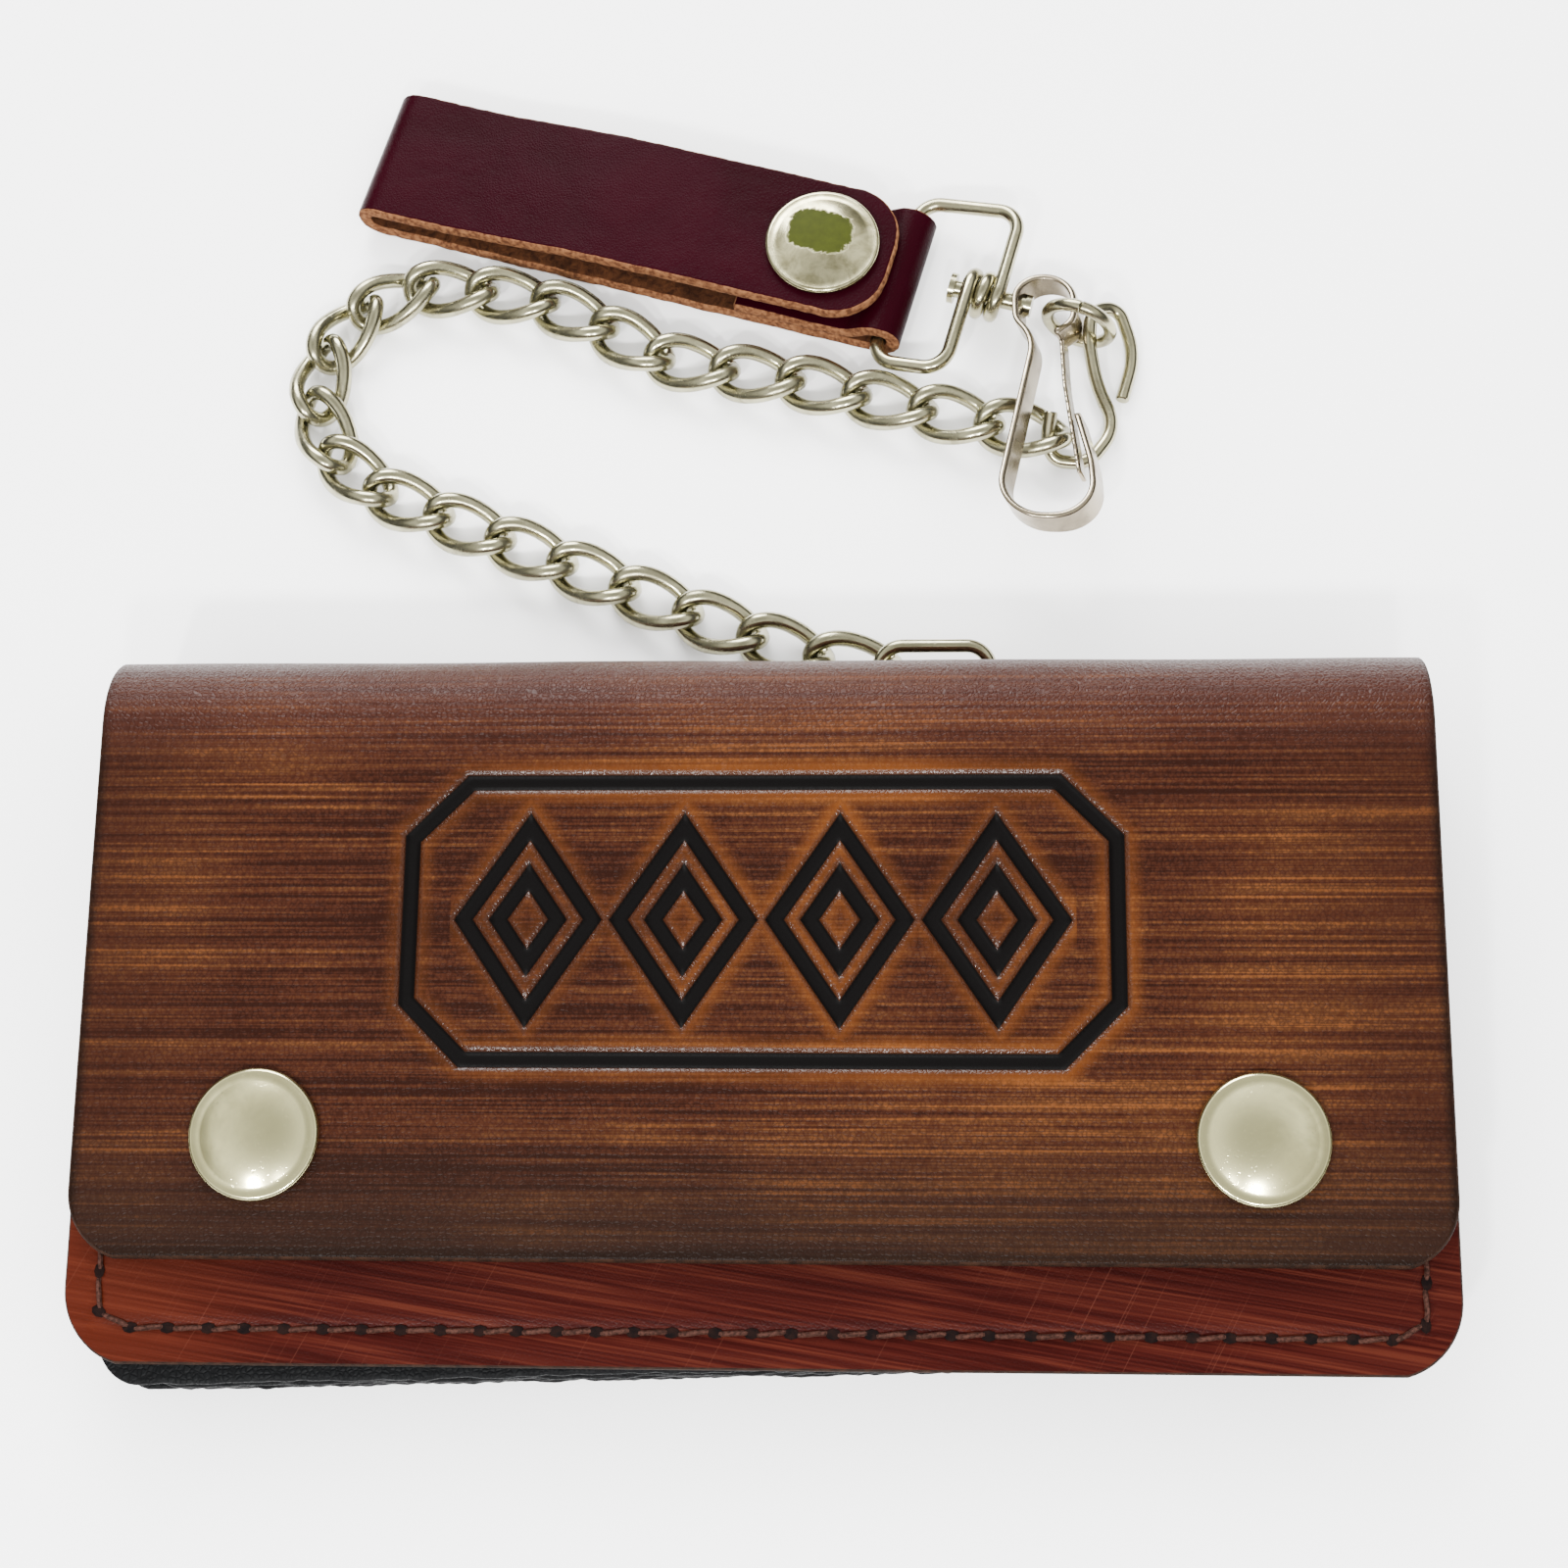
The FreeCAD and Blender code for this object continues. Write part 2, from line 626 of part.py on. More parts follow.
def build_slider(middle):
    """Slider that wraps the teeth, with two ears and a pin, and the pull that turns on the pin."""
    length, depth, tall = ZIP_TOOTH
    reach = tall - ZIP_OVERLAP / 2 + ZIP_RUN_CLEARANCE
    inner_y = COIN_TOP + depth + ZIP_RUN_CLEARANCE
    outer_y = inner_y + SLIDER_FRONT_WALL
    start, end = SLIDER_START_X - SLIDER_LENGTH / 2, SLIDER_START_X + SLIDER_LENGTH / 2
    shell = box((start, COIN_TOP + ZIP_RUN_CLEARANCE, middle - reach - SLIDER_WALL),
                (end, outer_y, middle + reach + SLIDER_WALL))
    ends = [edge for edge in shell.Edges
            if edge.BoundBox.YMin > outer_y - TINY and edge.BoundBox.XLength < TINY]
    shell = shell.makeFillet(SLIDER_WALL, ends)
    slider = shell.cut(box((start - SLIDER_WALL, COIN_TOP, middle - reach),
                           (end + SLIDER_WALL, inner_y, middle + reach)))

    pin = V(SLIDER_START_X, outer_y + PULL_PIN_STANDOFF, middle)
    for side in (-1, 1):
        levels = sorted((middle + side * EAR_GAP, middle + side * (EAR_GAP + SLIDER_WALL)))
        slider = slider.fuse(box((pin.x - EAR_HALF_LENGTH, inner_y, levels[0]),
                                 (pin.x + EAR_HALF_LENGTH, pin.y + EAR_REACH, levels[1])))
    pin_half = EAR_GAP + SLIDER_WALL / 2
    slider = slider.fuse(disc(PULL_PIN / 2, 2 * pin_half, pin - Z_AXIS * pin_half))

    half = EAR_GAP - PULL_SIDE_CLEARANCE
    eye = disc(PULL_EYE_RADIUS, 2 * half, pin - Z_AXIS * half)
    blade = box((pin.x - PULL_LENGTH, pin.y - PULL_THICK / 2, middle - half),
                (pin.x, pin.y + PULL_THICK / 2, middle + half))
    bore = disc(PULL_PIN / 2 + PULL_PIN_CLEARANCE, 4 * half, pin - Z_AXIS * 2 * half)
    return slider.removeSplitter(), blade.fuse(eye).cut(bore).removeSplitter()


# ------------------------------------------------------------------ chain and its anchor
def d_ring_point(across_x, up):
    """Point of the tilted ring's plane: across_x from its middle, up from its bar."""
    tilt = math.radians(D_TILT)
    return V(TAB_X + across_x, D_BAR_Y + up * math.cos(tilt), D_BAR_Z + up * math.sin(tilt))


def build_anchor():
    """Folded tab, its rivet and the D-ring in its loop."""
    tab = across(ribbon(tab_route(), -TAB_LEATHER / 2, TAB_LEATHER / 2, TAB_WIDTH), TAB_X)
    spot = rivet_spot()
    wrap_top = D_BAR_Z + D_WIRE / 2 + D_BAR_PLAY + TAB_LEATHER
    tab = tab.cut(disc(RIVET_SHANK / 2 + SEAT_CLEARANCE, wrap_top + RIVET_HEAD_THICK, spot))
    rivet = disc(RIVET_HEAD / 2, RIVET_HEAD_THICK, spot)
    rivet = rivet.fuse(disc(RIVET_SHANK / 2, wrap_top + RIVET_HEAD_THICK, spot))
    half = D_WIDTH / 2
    corners = [d_ring_point(-D_CUT / 2, 0), d_ring_point(-half, 0), d_ring_point(-half, D_HEIGHT),
               d_ring_point(half, D_HEIGHT), d_ring_point(half, 0), d_ring_point(D_CUT / 2, 0)]
    radii = [0, D_BAR_CORNER, D_ARC, D_ARC, D_BAR_CORNER, 0]
    ring = wire_solid(bent_points(corners, radii), D_WIRE)
    return tab, rivet.removeSplitter(), ring


def link_points():
    """Centre line of one link, open at its butt cut: a squared oval twisted about its length."""
    half_length = (LINK_PITCH + LINK_WIRE + LINK_PLAY) / 2
    start = LINK_CUT_AT + LINK_CUT / 2
    sweep = 360.0 - LINK_CUT
    points = []
    for index in range(LINK_SEGMENTS + 1):
        angle = math.radians(start + sweep * index / LINK_SEGMENTS)
        power = 2 / LINK_SQUARENESS
        x = half_length * math.copysign(abs(math.cos(angle)) ** power, math.cos(angle))
        y = LINK_HALF_WIDTH * math.copysign(abs(math.sin(angle)) ** power, math.sin(angle))
        twist = -math.radians(LINK_TWIST) * x / half_length
        points.append(V(x, y * math.cos(twist), y * math.sin(twist)))
    return points


def chain_joints():
    """Joints between the links, from the D-ring to the S-hook."""
    first = heading(CHAIN_TAIL[0])
    hold = (LINK_WIRE + LINK_PLAY) / 2
    grip = d_ring_point(-D_WIDTH / 2, D_GRIP)
    joint = V(grip.x, grip.y, 0) - first * hold
    joints = [V(joint.x, joint.y, grip.z)]
    for pitch, turns in ((LINK_PITCH, CHAIN_TAIL), (LINK_PITCH_SLACK, CHAIN_BEND), (LINK_PITCH, CHAIN_LEAD)):
        for turn in turns:
            joint = joint + heading(turn) * pitch
            joints.append(V(joint.x, joint.y, CHAIN_Z))
    return joints


JOINTS = chain_joints()
CHAIN_END = V(JOINTS[-1].x, JOINTS[-1].y, 0)


def build_links():
    """Every link, laid from one joint to the next."""
    link = wire_solid(link_points(), LINK_WIRE, LINK_SIDES, looped=True)
    links = []
    for start, end in zip(JOINTS, JOINTS[1:]):
        along = (end - start).normalize()
        side = Z_AXIS.cross(along).normalize()
        links.append(placed(link, (start + end) * 0.5, along, side))
    return links


# ------------------------------------------------------------------ hook, jump ring and clip
CLIP_CENTRE = CHAIN_END + CLIP_OFFSET + V(0, 0, CLIP_Z)
LIFT = math.radians(CLIP_LIFT)
CLIP_Y = V(0, math.cos(LIFT), -math.sin(LIFT))


def on_clip(shape):
    """Place a shape drawn in the clip's own plane, the head's centre at its origin."""
    return placed(shape, CLIP_CENTRE, X_AXIS, CLIP_Y)


def build_hook():
    """S-hook bent from one wire, open at both ends."""
    points = [CHAIN_END + V(*point) for point in HOOK_ROUTE]
    return wire_solid(bent_points(points, natural_radii(points)), HOOK_WIRE)


def build_jump_ring():
    """Round ring standing on its edge, with its cut at the top."""
    centre = CHAIN_END + JUMP_OFFSET + V(0, 0, JUMP_RADIUS + JUMP_WIRE / 2 + JUMP_LIFT)
    level = heading(JUMP_HEADING)
    points = []
    for index in range(JUMP_SEGMENTS + 1):
        angle = math.radians(90 + JUMP_CUT / 2 + (360 - JUMP_CUT) * index / JUMP_SEGMENTS)
        points.append(centre + (level * math.cos(angle) + Z_AXIS * math.sin(angle)) * JUMP_RADIUS)
    return wire_solid(points, JUMP_WIRE, looped=True)


def build_clip():
    """Body strip with the hole for its post, and the spring gate."""
    body = filleted([point[:2] for point in CLIP_ROUTE], [point[2] for point in CLIP_ROUTE])
    body = on_clip(ribbon(body, -CLIP_STRIP / 2, CLIP_STRIP / 2, CLIP_WIDTH))
    hole = disc(POST_RADIUS + POST_CLEARANCE, 2 * CLIP_HEAD, POST_AXIS_POINT - STRAP_X * 2 * CLIP_HEAD,
                STRAP_X)
    gate = filleted([point[:2] for point in GATE_ROUTE], [point[2] for point in GATE_ROUTE])
    gate = on_clip(ribbon(gate, -GATE_STRIP / 2, GATE_STRIP / 2, GATE_WIDTH))
    return body.cut(hole), gate


# ------------------------------------------------------------------ strap frame
STRAP_X = heading(STRAP_HEADING)
STRAP_Y = heading(STRAP_HEADING + 90)
POST_AXIS_POINT = V(CLIP_CENTRE.x, CLIP_CENTRE.y, POST_Z)
STRAP_ORIGIN = POST_AXIS_POINT - STRAP_X * (STRAP_BAR_AT + HEAD_FROM_BAR) - STRAP_Y * RING_SHIFT
STRAP_ORIGIN = V(STRAP_ORIGIN.x, STRAP_ORIGIN.y, 0)

# Levels of the strap's middle layers: ring bar, tail under the upper half, upper half at its snap.
BAR_Z = STRAP_LEATHER + STRAP_WRAP
TAIL_Z = STRAP_LEATHER * 1.5 + STRAP_PLY_GAP
UPPER_Z = BAR_Z + STRAP_WRAP + STRAP_LEATHER * 1.5 + STRAP_PLY_GAP
FOLD_RADIUS = (STRAP_FOLD + STRAP_LEATHER) / 2
RING_BACK = STRAP_BAR_AT + RING_WIDTH


def on_strap(shape):
    """Place a profile drawn in (length, Z) on the strap's line, its width across the strap."""
    return placed(shape, STRAP_ORIGIN, STRAP_X, Z_AXIS)


def strap_point(along, side, z):
    """Point given by its distance along and across the strap."""
    return STRAP_ORIGIN + STRAP_X * along + STRAP_Y * side + V(0, 0, z)


def build_post():
    """Round post through the coil and the clip's head, with a flat head at each end."""
    inner = POST_AXIS_POINT - STRAP_X * (CLIP_HEAD - CLIP_STRIP / 2 - POST_INNER_PLAY)
    coil_start = strap_point(RING_BACK - COIL_TURNS * COIL_PITCH / 2 - RING_WIRE, RING_SHIFT, POST_Z)
    outer = coil_start - STRAP_X * POST_HEAD
    post = disc(POST_RADIUS, (inner - outer).Length, outer, STRAP_X)
    post = post.fuse(disc(POST_HEAD_RADIUS, POST_HEAD, outer, STRAP_X))
    post = post.fuse(disc(POST_INNER_RADIUS, POST_HEAD, inner, STRAP_X))
    return post.removeSplitter()


def ring_points():
    """Route of the ring's one wire: left bar, one side, coil round the post, other side, left bar."""
    half = RING_HEIGHT / 2
    half_coil = COIL_TURNS * COIL_PITCH / 2
    coil_top = POST_Z + COIL_RADIUS

    def corner(along, side):
        rise = (along - STRAP_BAR_AT) / RING_WIDTH
        return strap_point(along, side, BAR_Z + (coil_top - BAR_Z) * rise)

    lower = [corner(STRAP_BAR_AT, -RING_CUT / 2), corner(STRAP_BAR_AT, -half),
             corner(RING_BACK - half_coil, -half),
             strap_point(RING_BACK - half_coil, RING_SHIFT - RING_SPREAD, coil_top)]
    upper = [strap_point(RING_BACK + half_coil, RING_SHIFT + RING_SPREAD, coil_top),
             corner(RING_BACK + half_coil, half), corner(STRAP_BAR_AT, half),
             corner(STRAP_BAR_AT, RING_CUT / 2)]
    radii = [0, RING_CORNER, RING_CORNER, 0]
    coil = []
    for index in range(COIL_TURNS * COIL_STEPS + 1):
        part = index / COIL_STEPS
        angle = math.radians(90 - 360 * part)
        coil.append(strap_point(RING_BACK - half_coil + part * COIL_PITCH,
                                RING_SHIFT + COIL_RADIUS * math.cos(angle),
                                POST_Z + COIL_RADIUS * math.sin(angle)))
    return bent_points(lower, radii) + coil + bent_points(upper, radii)


def build_ring():
    """Rectangular ring with the coil that turns on the post."""
    return wire_solid(ring_points(), RING_WIRE)


def strap_routes():
    """Lower half with its wrap and tail, and upper half from the fold to the rounded tip."""
    half = STRAP_LEATHER / 2
    wrap = STRAP_WRAP + half
    lower = [(FOLD_RADIUS, half), (STRAP_BAR_AT + wrap, half), (STRAP_BAR_AT + wrap, BAR_Z + wrap),
             (STRAP_BAR_AT - WRAP_RUN, BAR_Z + wrap), (TAIL_RISE_AT, TAIL_Z), (STRAP_TAIL_AT, TAIL_Z)]
    fold_top = half + 2 * FOLD_RADIUS
    upper = [(FOLD_RADIUS, fold_top), (STRAP_WAVE[0], fold_top), (STRAP_WAVE[1], UPPER_Z - STRAP_SAG),
             (STRAP_SNAP_AT - CAP_DIAMETER / 2 - STRAP_FLAT_MARGIN, UPPER_Z), (STRAP_TIP_AT, UPPER_Z)]
    return (filleted(lower, [0, wrap, wrap, STRAP_EASE, STRAP_EASE, 0]),
            filleted(upper, [0, STRAP_WAVE_RADIUS, STRAP_WAVE_RADIUS, STRAP_WAVE_RADIUS, 0]))


def build_strap():
    """Two halves of the folded strap with the snap that closes it."""
    lower_route, upper_route = strap_routes()
    half = STRAP_LEATHER / 2
    bend_centre = V(FOLD_RADIUS, half + FOLD_RADIUS, 0)
    lower_bend = ("arc", bend_centre, FOLD_RADIUS, math.radians(180), math.radians(90))
    upper_bend = ("arc", bend_centre, FOLD_RADIUS, math.radians(180), math.radians(-90))
    lower = on_strap(ribbon([lower_bend] + lower_route, -half, half, STRAP_WIDTH))
    upper = on_strap(ribbon([upper_bend] + upper_route, -half, half, STRAP_WIDTH))
    side = STRAP_WIDTH / 2
    tip = rounded([(-side, -side), (STRAP_TIP_AT, -side), (STRAP_TIP_AT, side), (-side, side)],
                  [0, STRAP_TIP_CORNER, STRAP_TIP_CORNER, 0]).extrude(V(0, 0, STRAP_WIDTH))
    upper = upper.common(placed(tip, STRAP_ORIGIN, STRAP_X, STRAP_Y))

    tail_top, under, outer = TAIL_Z + half, UPPER_Z - half, UPPER_Z + half
    seat = tail_top - STUD_FLANGE_THICK - SEAT_CLEARANCE
    drawn = [snap_stud(tail_top), snap_socket(under - SEAT_CLEARANCE), snap_cap(outer, STRAP_LEATHER),
             disc(STUD_FLANGE / 2 + SEAT_CLEARANCE, STRAP_LEATHER, V(0, 0, seat)),
             disc(CAP_BARREL / 2 + SEAT_CLEARANCE, 2 * STRAP_LEATHER, V(0, 0, under - half))]
    spot = STRAP_ORIGIN + STRAP_X * STRAP_SNAP_AT
    stud, socket, cap, recess, hole = [placed(shape, spot, STRAP_X, STRAP_Y) for shape in drawn]
    return lower.cut(recess), upper.cut(hole), stud, socket, cap


# ------------------------------------------------------------------ the whole object
def main():
    """Build every node and write it."""
    back, spine, flap = build_cover()
    front, front_lining = build_front()
    caps, sockets, studs = build_flap_snaps()
    lining, cards, coin_back, coin_front, floor = build_pockets()
    tapes, teeth, middle = build_zipper(floor)
    slider, pull = build_slider(middle)
    tab, rivet, d_ring = build_anchor()
    links = build_links()
    clip, gate = build_clip()
    strap_lower, strap_upper, strap_stud, strap_socket, strap_cap = build_strap()

    nodes = {
        "back_panel": back, "spine": spine, "flap": flap, "front_panel": front,
        "front_lining": front_lining, "back_lining": lining,
        "card_pocket_inner": cards[0], "card_pocket_outer": cards[1],
        "coin_pocket_back": coin_back, "coin_pocket_front": coin_front,
        "gusset_left": gusset(-1), "gusset_right": gusset(1),
        "zipper_tapes": tapes, "zipper_teeth": teeth, "zipper_slider": slider, "zipper_pull": pull,
        "flap_snap_caps": caps, "flap_snap_sockets": sockets, "front_snap_studs": studs,
        "anchor_tab": tab, "anchor_rivet": rivet, "d_ring": d_ring,
        "s_hook": build_hook(), "jump_ring": build_jump_ring(),
        "clip_body": clip, "clip_gate": gate, "swivel_post": build_post(), "ring_frame": build_ring(),
        "strap_lower": strap_lower, "strap_upper": strap_upper, "strap_stud": strap_stud,
        "strap_socket": strap_socket, "strap_cap": strap_cap,
    }
    for index, link in enumerate(links):
        nodes["chain_link_{:02d}".format(index + 1)] = link
    for name, solids in nodes.items():
        save(name, solids)


main()
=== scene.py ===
"""Looks of the long snapped wallet with its chain, clip and belt strap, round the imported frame."""
import logging
import math
from collections.abc import Callable, Sequence
from dataclasses import dataclass
from enum import Enum

import bmesh
import bpy
import numpy as np
from mathutils import Matrix, Vector


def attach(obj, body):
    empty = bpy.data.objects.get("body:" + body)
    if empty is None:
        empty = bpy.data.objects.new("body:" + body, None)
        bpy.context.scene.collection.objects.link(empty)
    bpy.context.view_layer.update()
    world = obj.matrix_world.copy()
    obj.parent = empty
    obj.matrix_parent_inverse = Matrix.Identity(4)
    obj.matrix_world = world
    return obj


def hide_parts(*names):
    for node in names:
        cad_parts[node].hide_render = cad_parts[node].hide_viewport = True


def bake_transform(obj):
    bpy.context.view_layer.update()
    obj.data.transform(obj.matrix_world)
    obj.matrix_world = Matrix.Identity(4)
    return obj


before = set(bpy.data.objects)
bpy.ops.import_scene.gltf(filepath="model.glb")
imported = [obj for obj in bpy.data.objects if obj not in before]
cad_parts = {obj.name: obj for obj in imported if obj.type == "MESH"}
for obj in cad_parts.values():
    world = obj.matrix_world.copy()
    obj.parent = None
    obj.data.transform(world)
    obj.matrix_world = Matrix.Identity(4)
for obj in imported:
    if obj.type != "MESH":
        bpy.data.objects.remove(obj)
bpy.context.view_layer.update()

LOG = logging.getLogger("wallet")
MM = 0.001
FAR = 99.0
Point = tuple[float, float, float]
Flat = tuple[float, float]
Shell = tuple[np.ndarray, list[list[int]]]
Socket = bpy.types.NodeSocket
FLOAT, VECTOR = "NodeSocketFloat", "NodeSocketVector"


# ------------------------------------------------------------------ sizes shared with the frame
@dataclass(frozen=True)
class CoverSizes:
    """Outer cover, bent round the fold, and what lies under it. Millimetres."""

    width: float = 165.0
    leather: float = 2.4
    back_edge: float = -42.5
    spine: float = 44.0
    lower_bend: float = 11.0
    upper_bend: float = 10.0
    flap_edge: float = -32.5
    flap_edge_top: float = 15.5
    slope: float = math.radians(5.76)
    corner: float = 8.0
    gap: float = 0.42
    front_width: float = 166.0
    front_edge: float = -44.3
    front_length: float = 74.5
    front_leather: float = 2.0
    front_corner: float = 9.0
    snap_x: float = 60.0
    snap_y: float = 27.0

    def top(self, y: float) -> float:
        """Height of the closed flap's outer face."""
        return self.flap_edge_top + math.tan(self.slope) * (y - self.flap_edge)

    def lid(self) -> Matrix:
        """Frame of the front panel's underside: X along the free edge, Y up the slope."""
        below = (self.leather + self.gap + self.front_leather) / math.cos(self.slope)
        origin = Vector((0, self.front_edge, self.top(self.front_edge) - below))
        return Matrix.Translation(origin) @ Matrix.Rotation(self.slope, 4, "X")


COVER = CoverSizes()


class Slot(str, Enum):
    """Names of the material slots."""

    BROWN = "leather_brown"
    DARK = "leather_dark"
    RED = "leather_red"
    BLACK = "leather_black"
    BURGUNDY = "leather_burgundy"
    ZIP = "zip_metal"
    SNAP = "snap_nickel"
    CHAIN = "chain_nickel"
    HARDWARE = "hardware_nickel"
    CLIP = "clip_steel"


# ------------------------------------------------------------------ shader tools
def rgb(code: str) -> tuple[float, float, float, float]:
    """Linear colour from a hex code."""
    parts = [int(code[i:i + 2], 16) / 255 for i in (1, 3, 5)]
    linear = [p / 12.92 if p <= 0.04045 else ((p + 0.055) / 1.055) ** 2.4 for p in parts]
    return (linear[0], linear[1], linear[2], 1.0)


class Graph:
    """Short words for a node tree; each takes values or sockets, and hex codes as colours."""

    def __init__(self, tree: bpy.types.NodeTree) -> None:
        """Start on an empty tree."""
        self.tree = tree
        tree.nodes.clear()

    def node(self, kind: str, inputs: dict | None = None, **settings: object) -> bpy.types.Node:
        """Add a node.

        Args:
            kind: Blender's name of the node type.
            inputs: values or sockets by input name or index.
            settings: properties of the node.

        Returns:
            The node.
        """
        made = self.tree.nodes.new(kind)
        for key, value in settings.items():
            setattr(made, key, value)
        for key, value in (inputs or {}).items():
            self.feed(made.inputs[key], value)
        return made

    def feed(self, socket: Socket, value: object) -> None:
        """Link a socket, or set its value."""
        if isinstance(value, Socket):
            self.tree.links.new(value, socket)
        elif isinstance(value, str) and value.startswith("#"):
            socket.default_value = rgb(value)
        else:
            socket.default_value = value

    def math(self, operation: str, first: object, second: object = 0.0) -> Socket:
        """Result of one operation on two values."""
        return self.node("ShaderNodeMath", {0: first, 1: second}, operation=operation).outputs[0]

    def add(self, first: object, *others: object) -> Socket:
        """Sum of values, from the left."""
        for other in others:
            first = self.math("ADD", first, other)
        return first

    def less(self, first: object, second: object) -> Socket:
        """Difference of two values."""
        return self.math("SUBTRACT", first, second)

    def times(self, first: object, second: object) -> Socket:
        """Product of two values."""
        return self.math("MULTIPLY", first, second)

    def over(self, first: object, second: object) -> Socket:
        """Quotient of two values."""
        return self.math("DIVIDE", first, second)

    def size(self, value: object) -> Socket:
        """Value without its sign."""
        return self.math("ABSOLUTE", value)

    def about(self, value: object, weight: float) -> Socket:
        """How far a value lies from 0.5, times a weight."""
        return self.times(self.less(value, 0.5), weight)

    def spread(self, value: object, low: float, high: float) -> Socket:
        """Value mapped smoothly from low..high to 0..1."""
        return self.node("ShaderNodeMapRange", {0: value, 1: low, 2: high},
                         interpolation_type="SMOOTHSTEP").outputs[0]

    def mix(self, share: object, first: object, second: object) -> Socket:
        """Colour between two colours."""
        made = self.node("ShaderNodeMix", data_type="RGBA")
        for index, value in ((0, share), (6, first), (7, second)):
            self.feed(made.inputs[index], value)
        return made.outputs[2]

    def tint(self, base: object, layers: Sequence[tuple[object, float, str]]) -> Socket:
        """Base under layers of mask, weight and colour."""
        for mask, weight, colour in layers:
            base = self.mix(mask if weight == 1.0 else self.times(mask, weight), base, colour)
        return base

    def ramp(self, share: object, stops: Sequence[tuple[float, object]]) -> Socket:
        """Colour read from a row of stops."""
        made = self.node("ShaderNodeValToRGB", {0: share})
        elements = made.color_ramp.elements
        while len(elements) < len(stops):
            elements.new(0.5)
        for element, (place, colour) in zip(elements, stops):
            element.position = place
            element.color = rgb(colour) if isinstance(colour, str) else colour
        return made.outputs[0]

    def coords(self) -> Socket:
        """Object coordinates."""
        return self.node("ShaderNodeTexCoord").outputs["Object"]

    def vector(self, operation: str, first: object, second: object) -> Socket:
        """Result of one operation on two vectors."""
        made = self.node("ShaderNodeVectorMath", {0: first, 1: second}, operation=operation)
        return made.outputs[0]

    def turned(self, vector: object, angles: object) -> Socket:
        """Vector turned by three angles."""
        return self.node("ShaderNodeVectorRotate", {0: vector, "Rotation": angles},
                         rotation_type="EULER_XYZ").outputs[0]

    def noise(self, scale: object, detail: float = 3.0, rough: float = 0.5, bend: float = 0.0,
              vector: object = None) -> Socket:
        """Soft noise, about 0.5 in the middle, on object coordinates unless a vector is given."""
        values = {"Vector": self.coords() if vector is None else vector, "Scale": scale,
                  "Detail": detail, "Roughness": rough, "Distortion": bend}
        return self.node("ShaderNodeTexNoise", values).outputs[0]

    def group(self, tree: bpy.types.NodeTree, **values: object) -> bpy.types.bpy_prop_collection:
        """Outputs of a node group placed in the tree."""
        made = self.node("ShaderNodeGroup")
        made.node_tree = tree
        for key, value in values.items():
            self.feed(made.inputs[key], value)
        return made.outputs

    def split(self, vector: object) -> tuple[Socket, ...]:
        """X, Y and Z of a vector."""
        return tuple(self.node("ShaderNodeSeparateXYZ", {0: vector}).outputs)


def shader_group(name: str, inputs: dict[str, tuple[str, object]], outputs: Sequence[str],
                 build: Callable[[Graph, dict], dict]) -> bpy.types.NodeTree:
    """Make a shader node group.

    Args:
        name: name of the group.
        inputs: socket type and default by name.
        outputs: names of the masks and values it gives.
        build: fills the tree; takes the graph and the input sockets, returns the output sockets.

    Returns:
        The group.
    """
    tree = bpy.data.node_groups.new(name, "ShaderNodeTree")
    for key, (kind, default) in inputs.items():
        socket = tree.interface.new_socket(key, in_out="INPUT", socket_type=kind)
        socket.default_value = default
    for key in outputs:
        tree.interface.new_socket(key, in_out="OUTPUT", socket_type=FLOAT)
    graph = Graph(tree)
    entry = graph.node("NodeGroupInput")
    results = build(graph, {key: entry.outputs[key] for key in inputs})
    graph.node("NodeGroupOutput", results)
    return tree


def grain_group() -> bpy.types.NodeTree:
    """Leather grain: fine pebbles broken by soft creases, as a height."""

    def build(g: Graph, given: dict) -> dict:
        """Fill the tree."""
        edges = g.node("ShaderNodeTexVoronoi", {"Vector": g.coords(), "Scale": given["Pebbles"],
                                                "Randomness": 1.0}, feature="DISTANCE_TO_EDGE")
        pebbles = g.spread(edges.outputs[0], 0.0, 0.28)
        creases = g.noise(given["Creases"], 4.0, 0.6)
        return {"Height": g.add(g.times(pebbles, 0.45), g.times(creases, 0.55))}

    return shader_group("Leather grain", {"Pebbles": (FLOAT, 1900.0), "Creases": (FLOAT, 500.0)},
                        ("Height",), build)


def streak_group() -> bpy.types.NodeTree:
    """Brush streaks of a hand dye: long along one axis, thin across it."""
    brushes = (((8.0, 620.0, 620.0), 0.2, 0.24), ((16.0, 1900.0, 1900.0), 0.1, 0.42),
               ((30.0, 3900.0, 3900.0), 0.1, 0.34))

    def build(g: Graph, given: dict) -> dict:
        """Fill the tree."""
        base = g.turned(g.coords(), given["Turn"])
        layers = []
        for scale, bend, _ in brushes:
            noise = g.noise(1.0, 1.2, 0.5, bend, g.vector("MULTIPLY", base, scale))
            layers.append(g.spread(noise, 0.28, 0.72))
        total = g.add(*(g.times(layer, brush[2]) for layer, brush in zip(layers, brushes)))
        return {"Streaks": total, "Fine": layers[1], "Patches": g.noise(26.0, 2.0, vector=base)}

    return shader_group("Dye streaks", {"Turn": (VECTOR, (0.0, 0.0, 0.0))},
                        ("Streaks", "Fine", "Patches"), build)


def tarnish_group() -> bpy.types.NodeTree:
    """Fine wear of plated metal: cloudy patches and small pits."""

    def build(g: Graph, given: dict) -> dict:
        """Fill the tree."""
        return {"Cloud": g.spread(g.noise(given["Size"], 4.0, 0.6, 0.4), 0.35, 0.7),
                "Pits": g.spread(g.noise(2600.0, 2.0), 0.62, 0.75)}

    return shader_group("Plating wear", {"Size": (FLOAT, 260.0)}, ("Cloud", "Pits"), build)


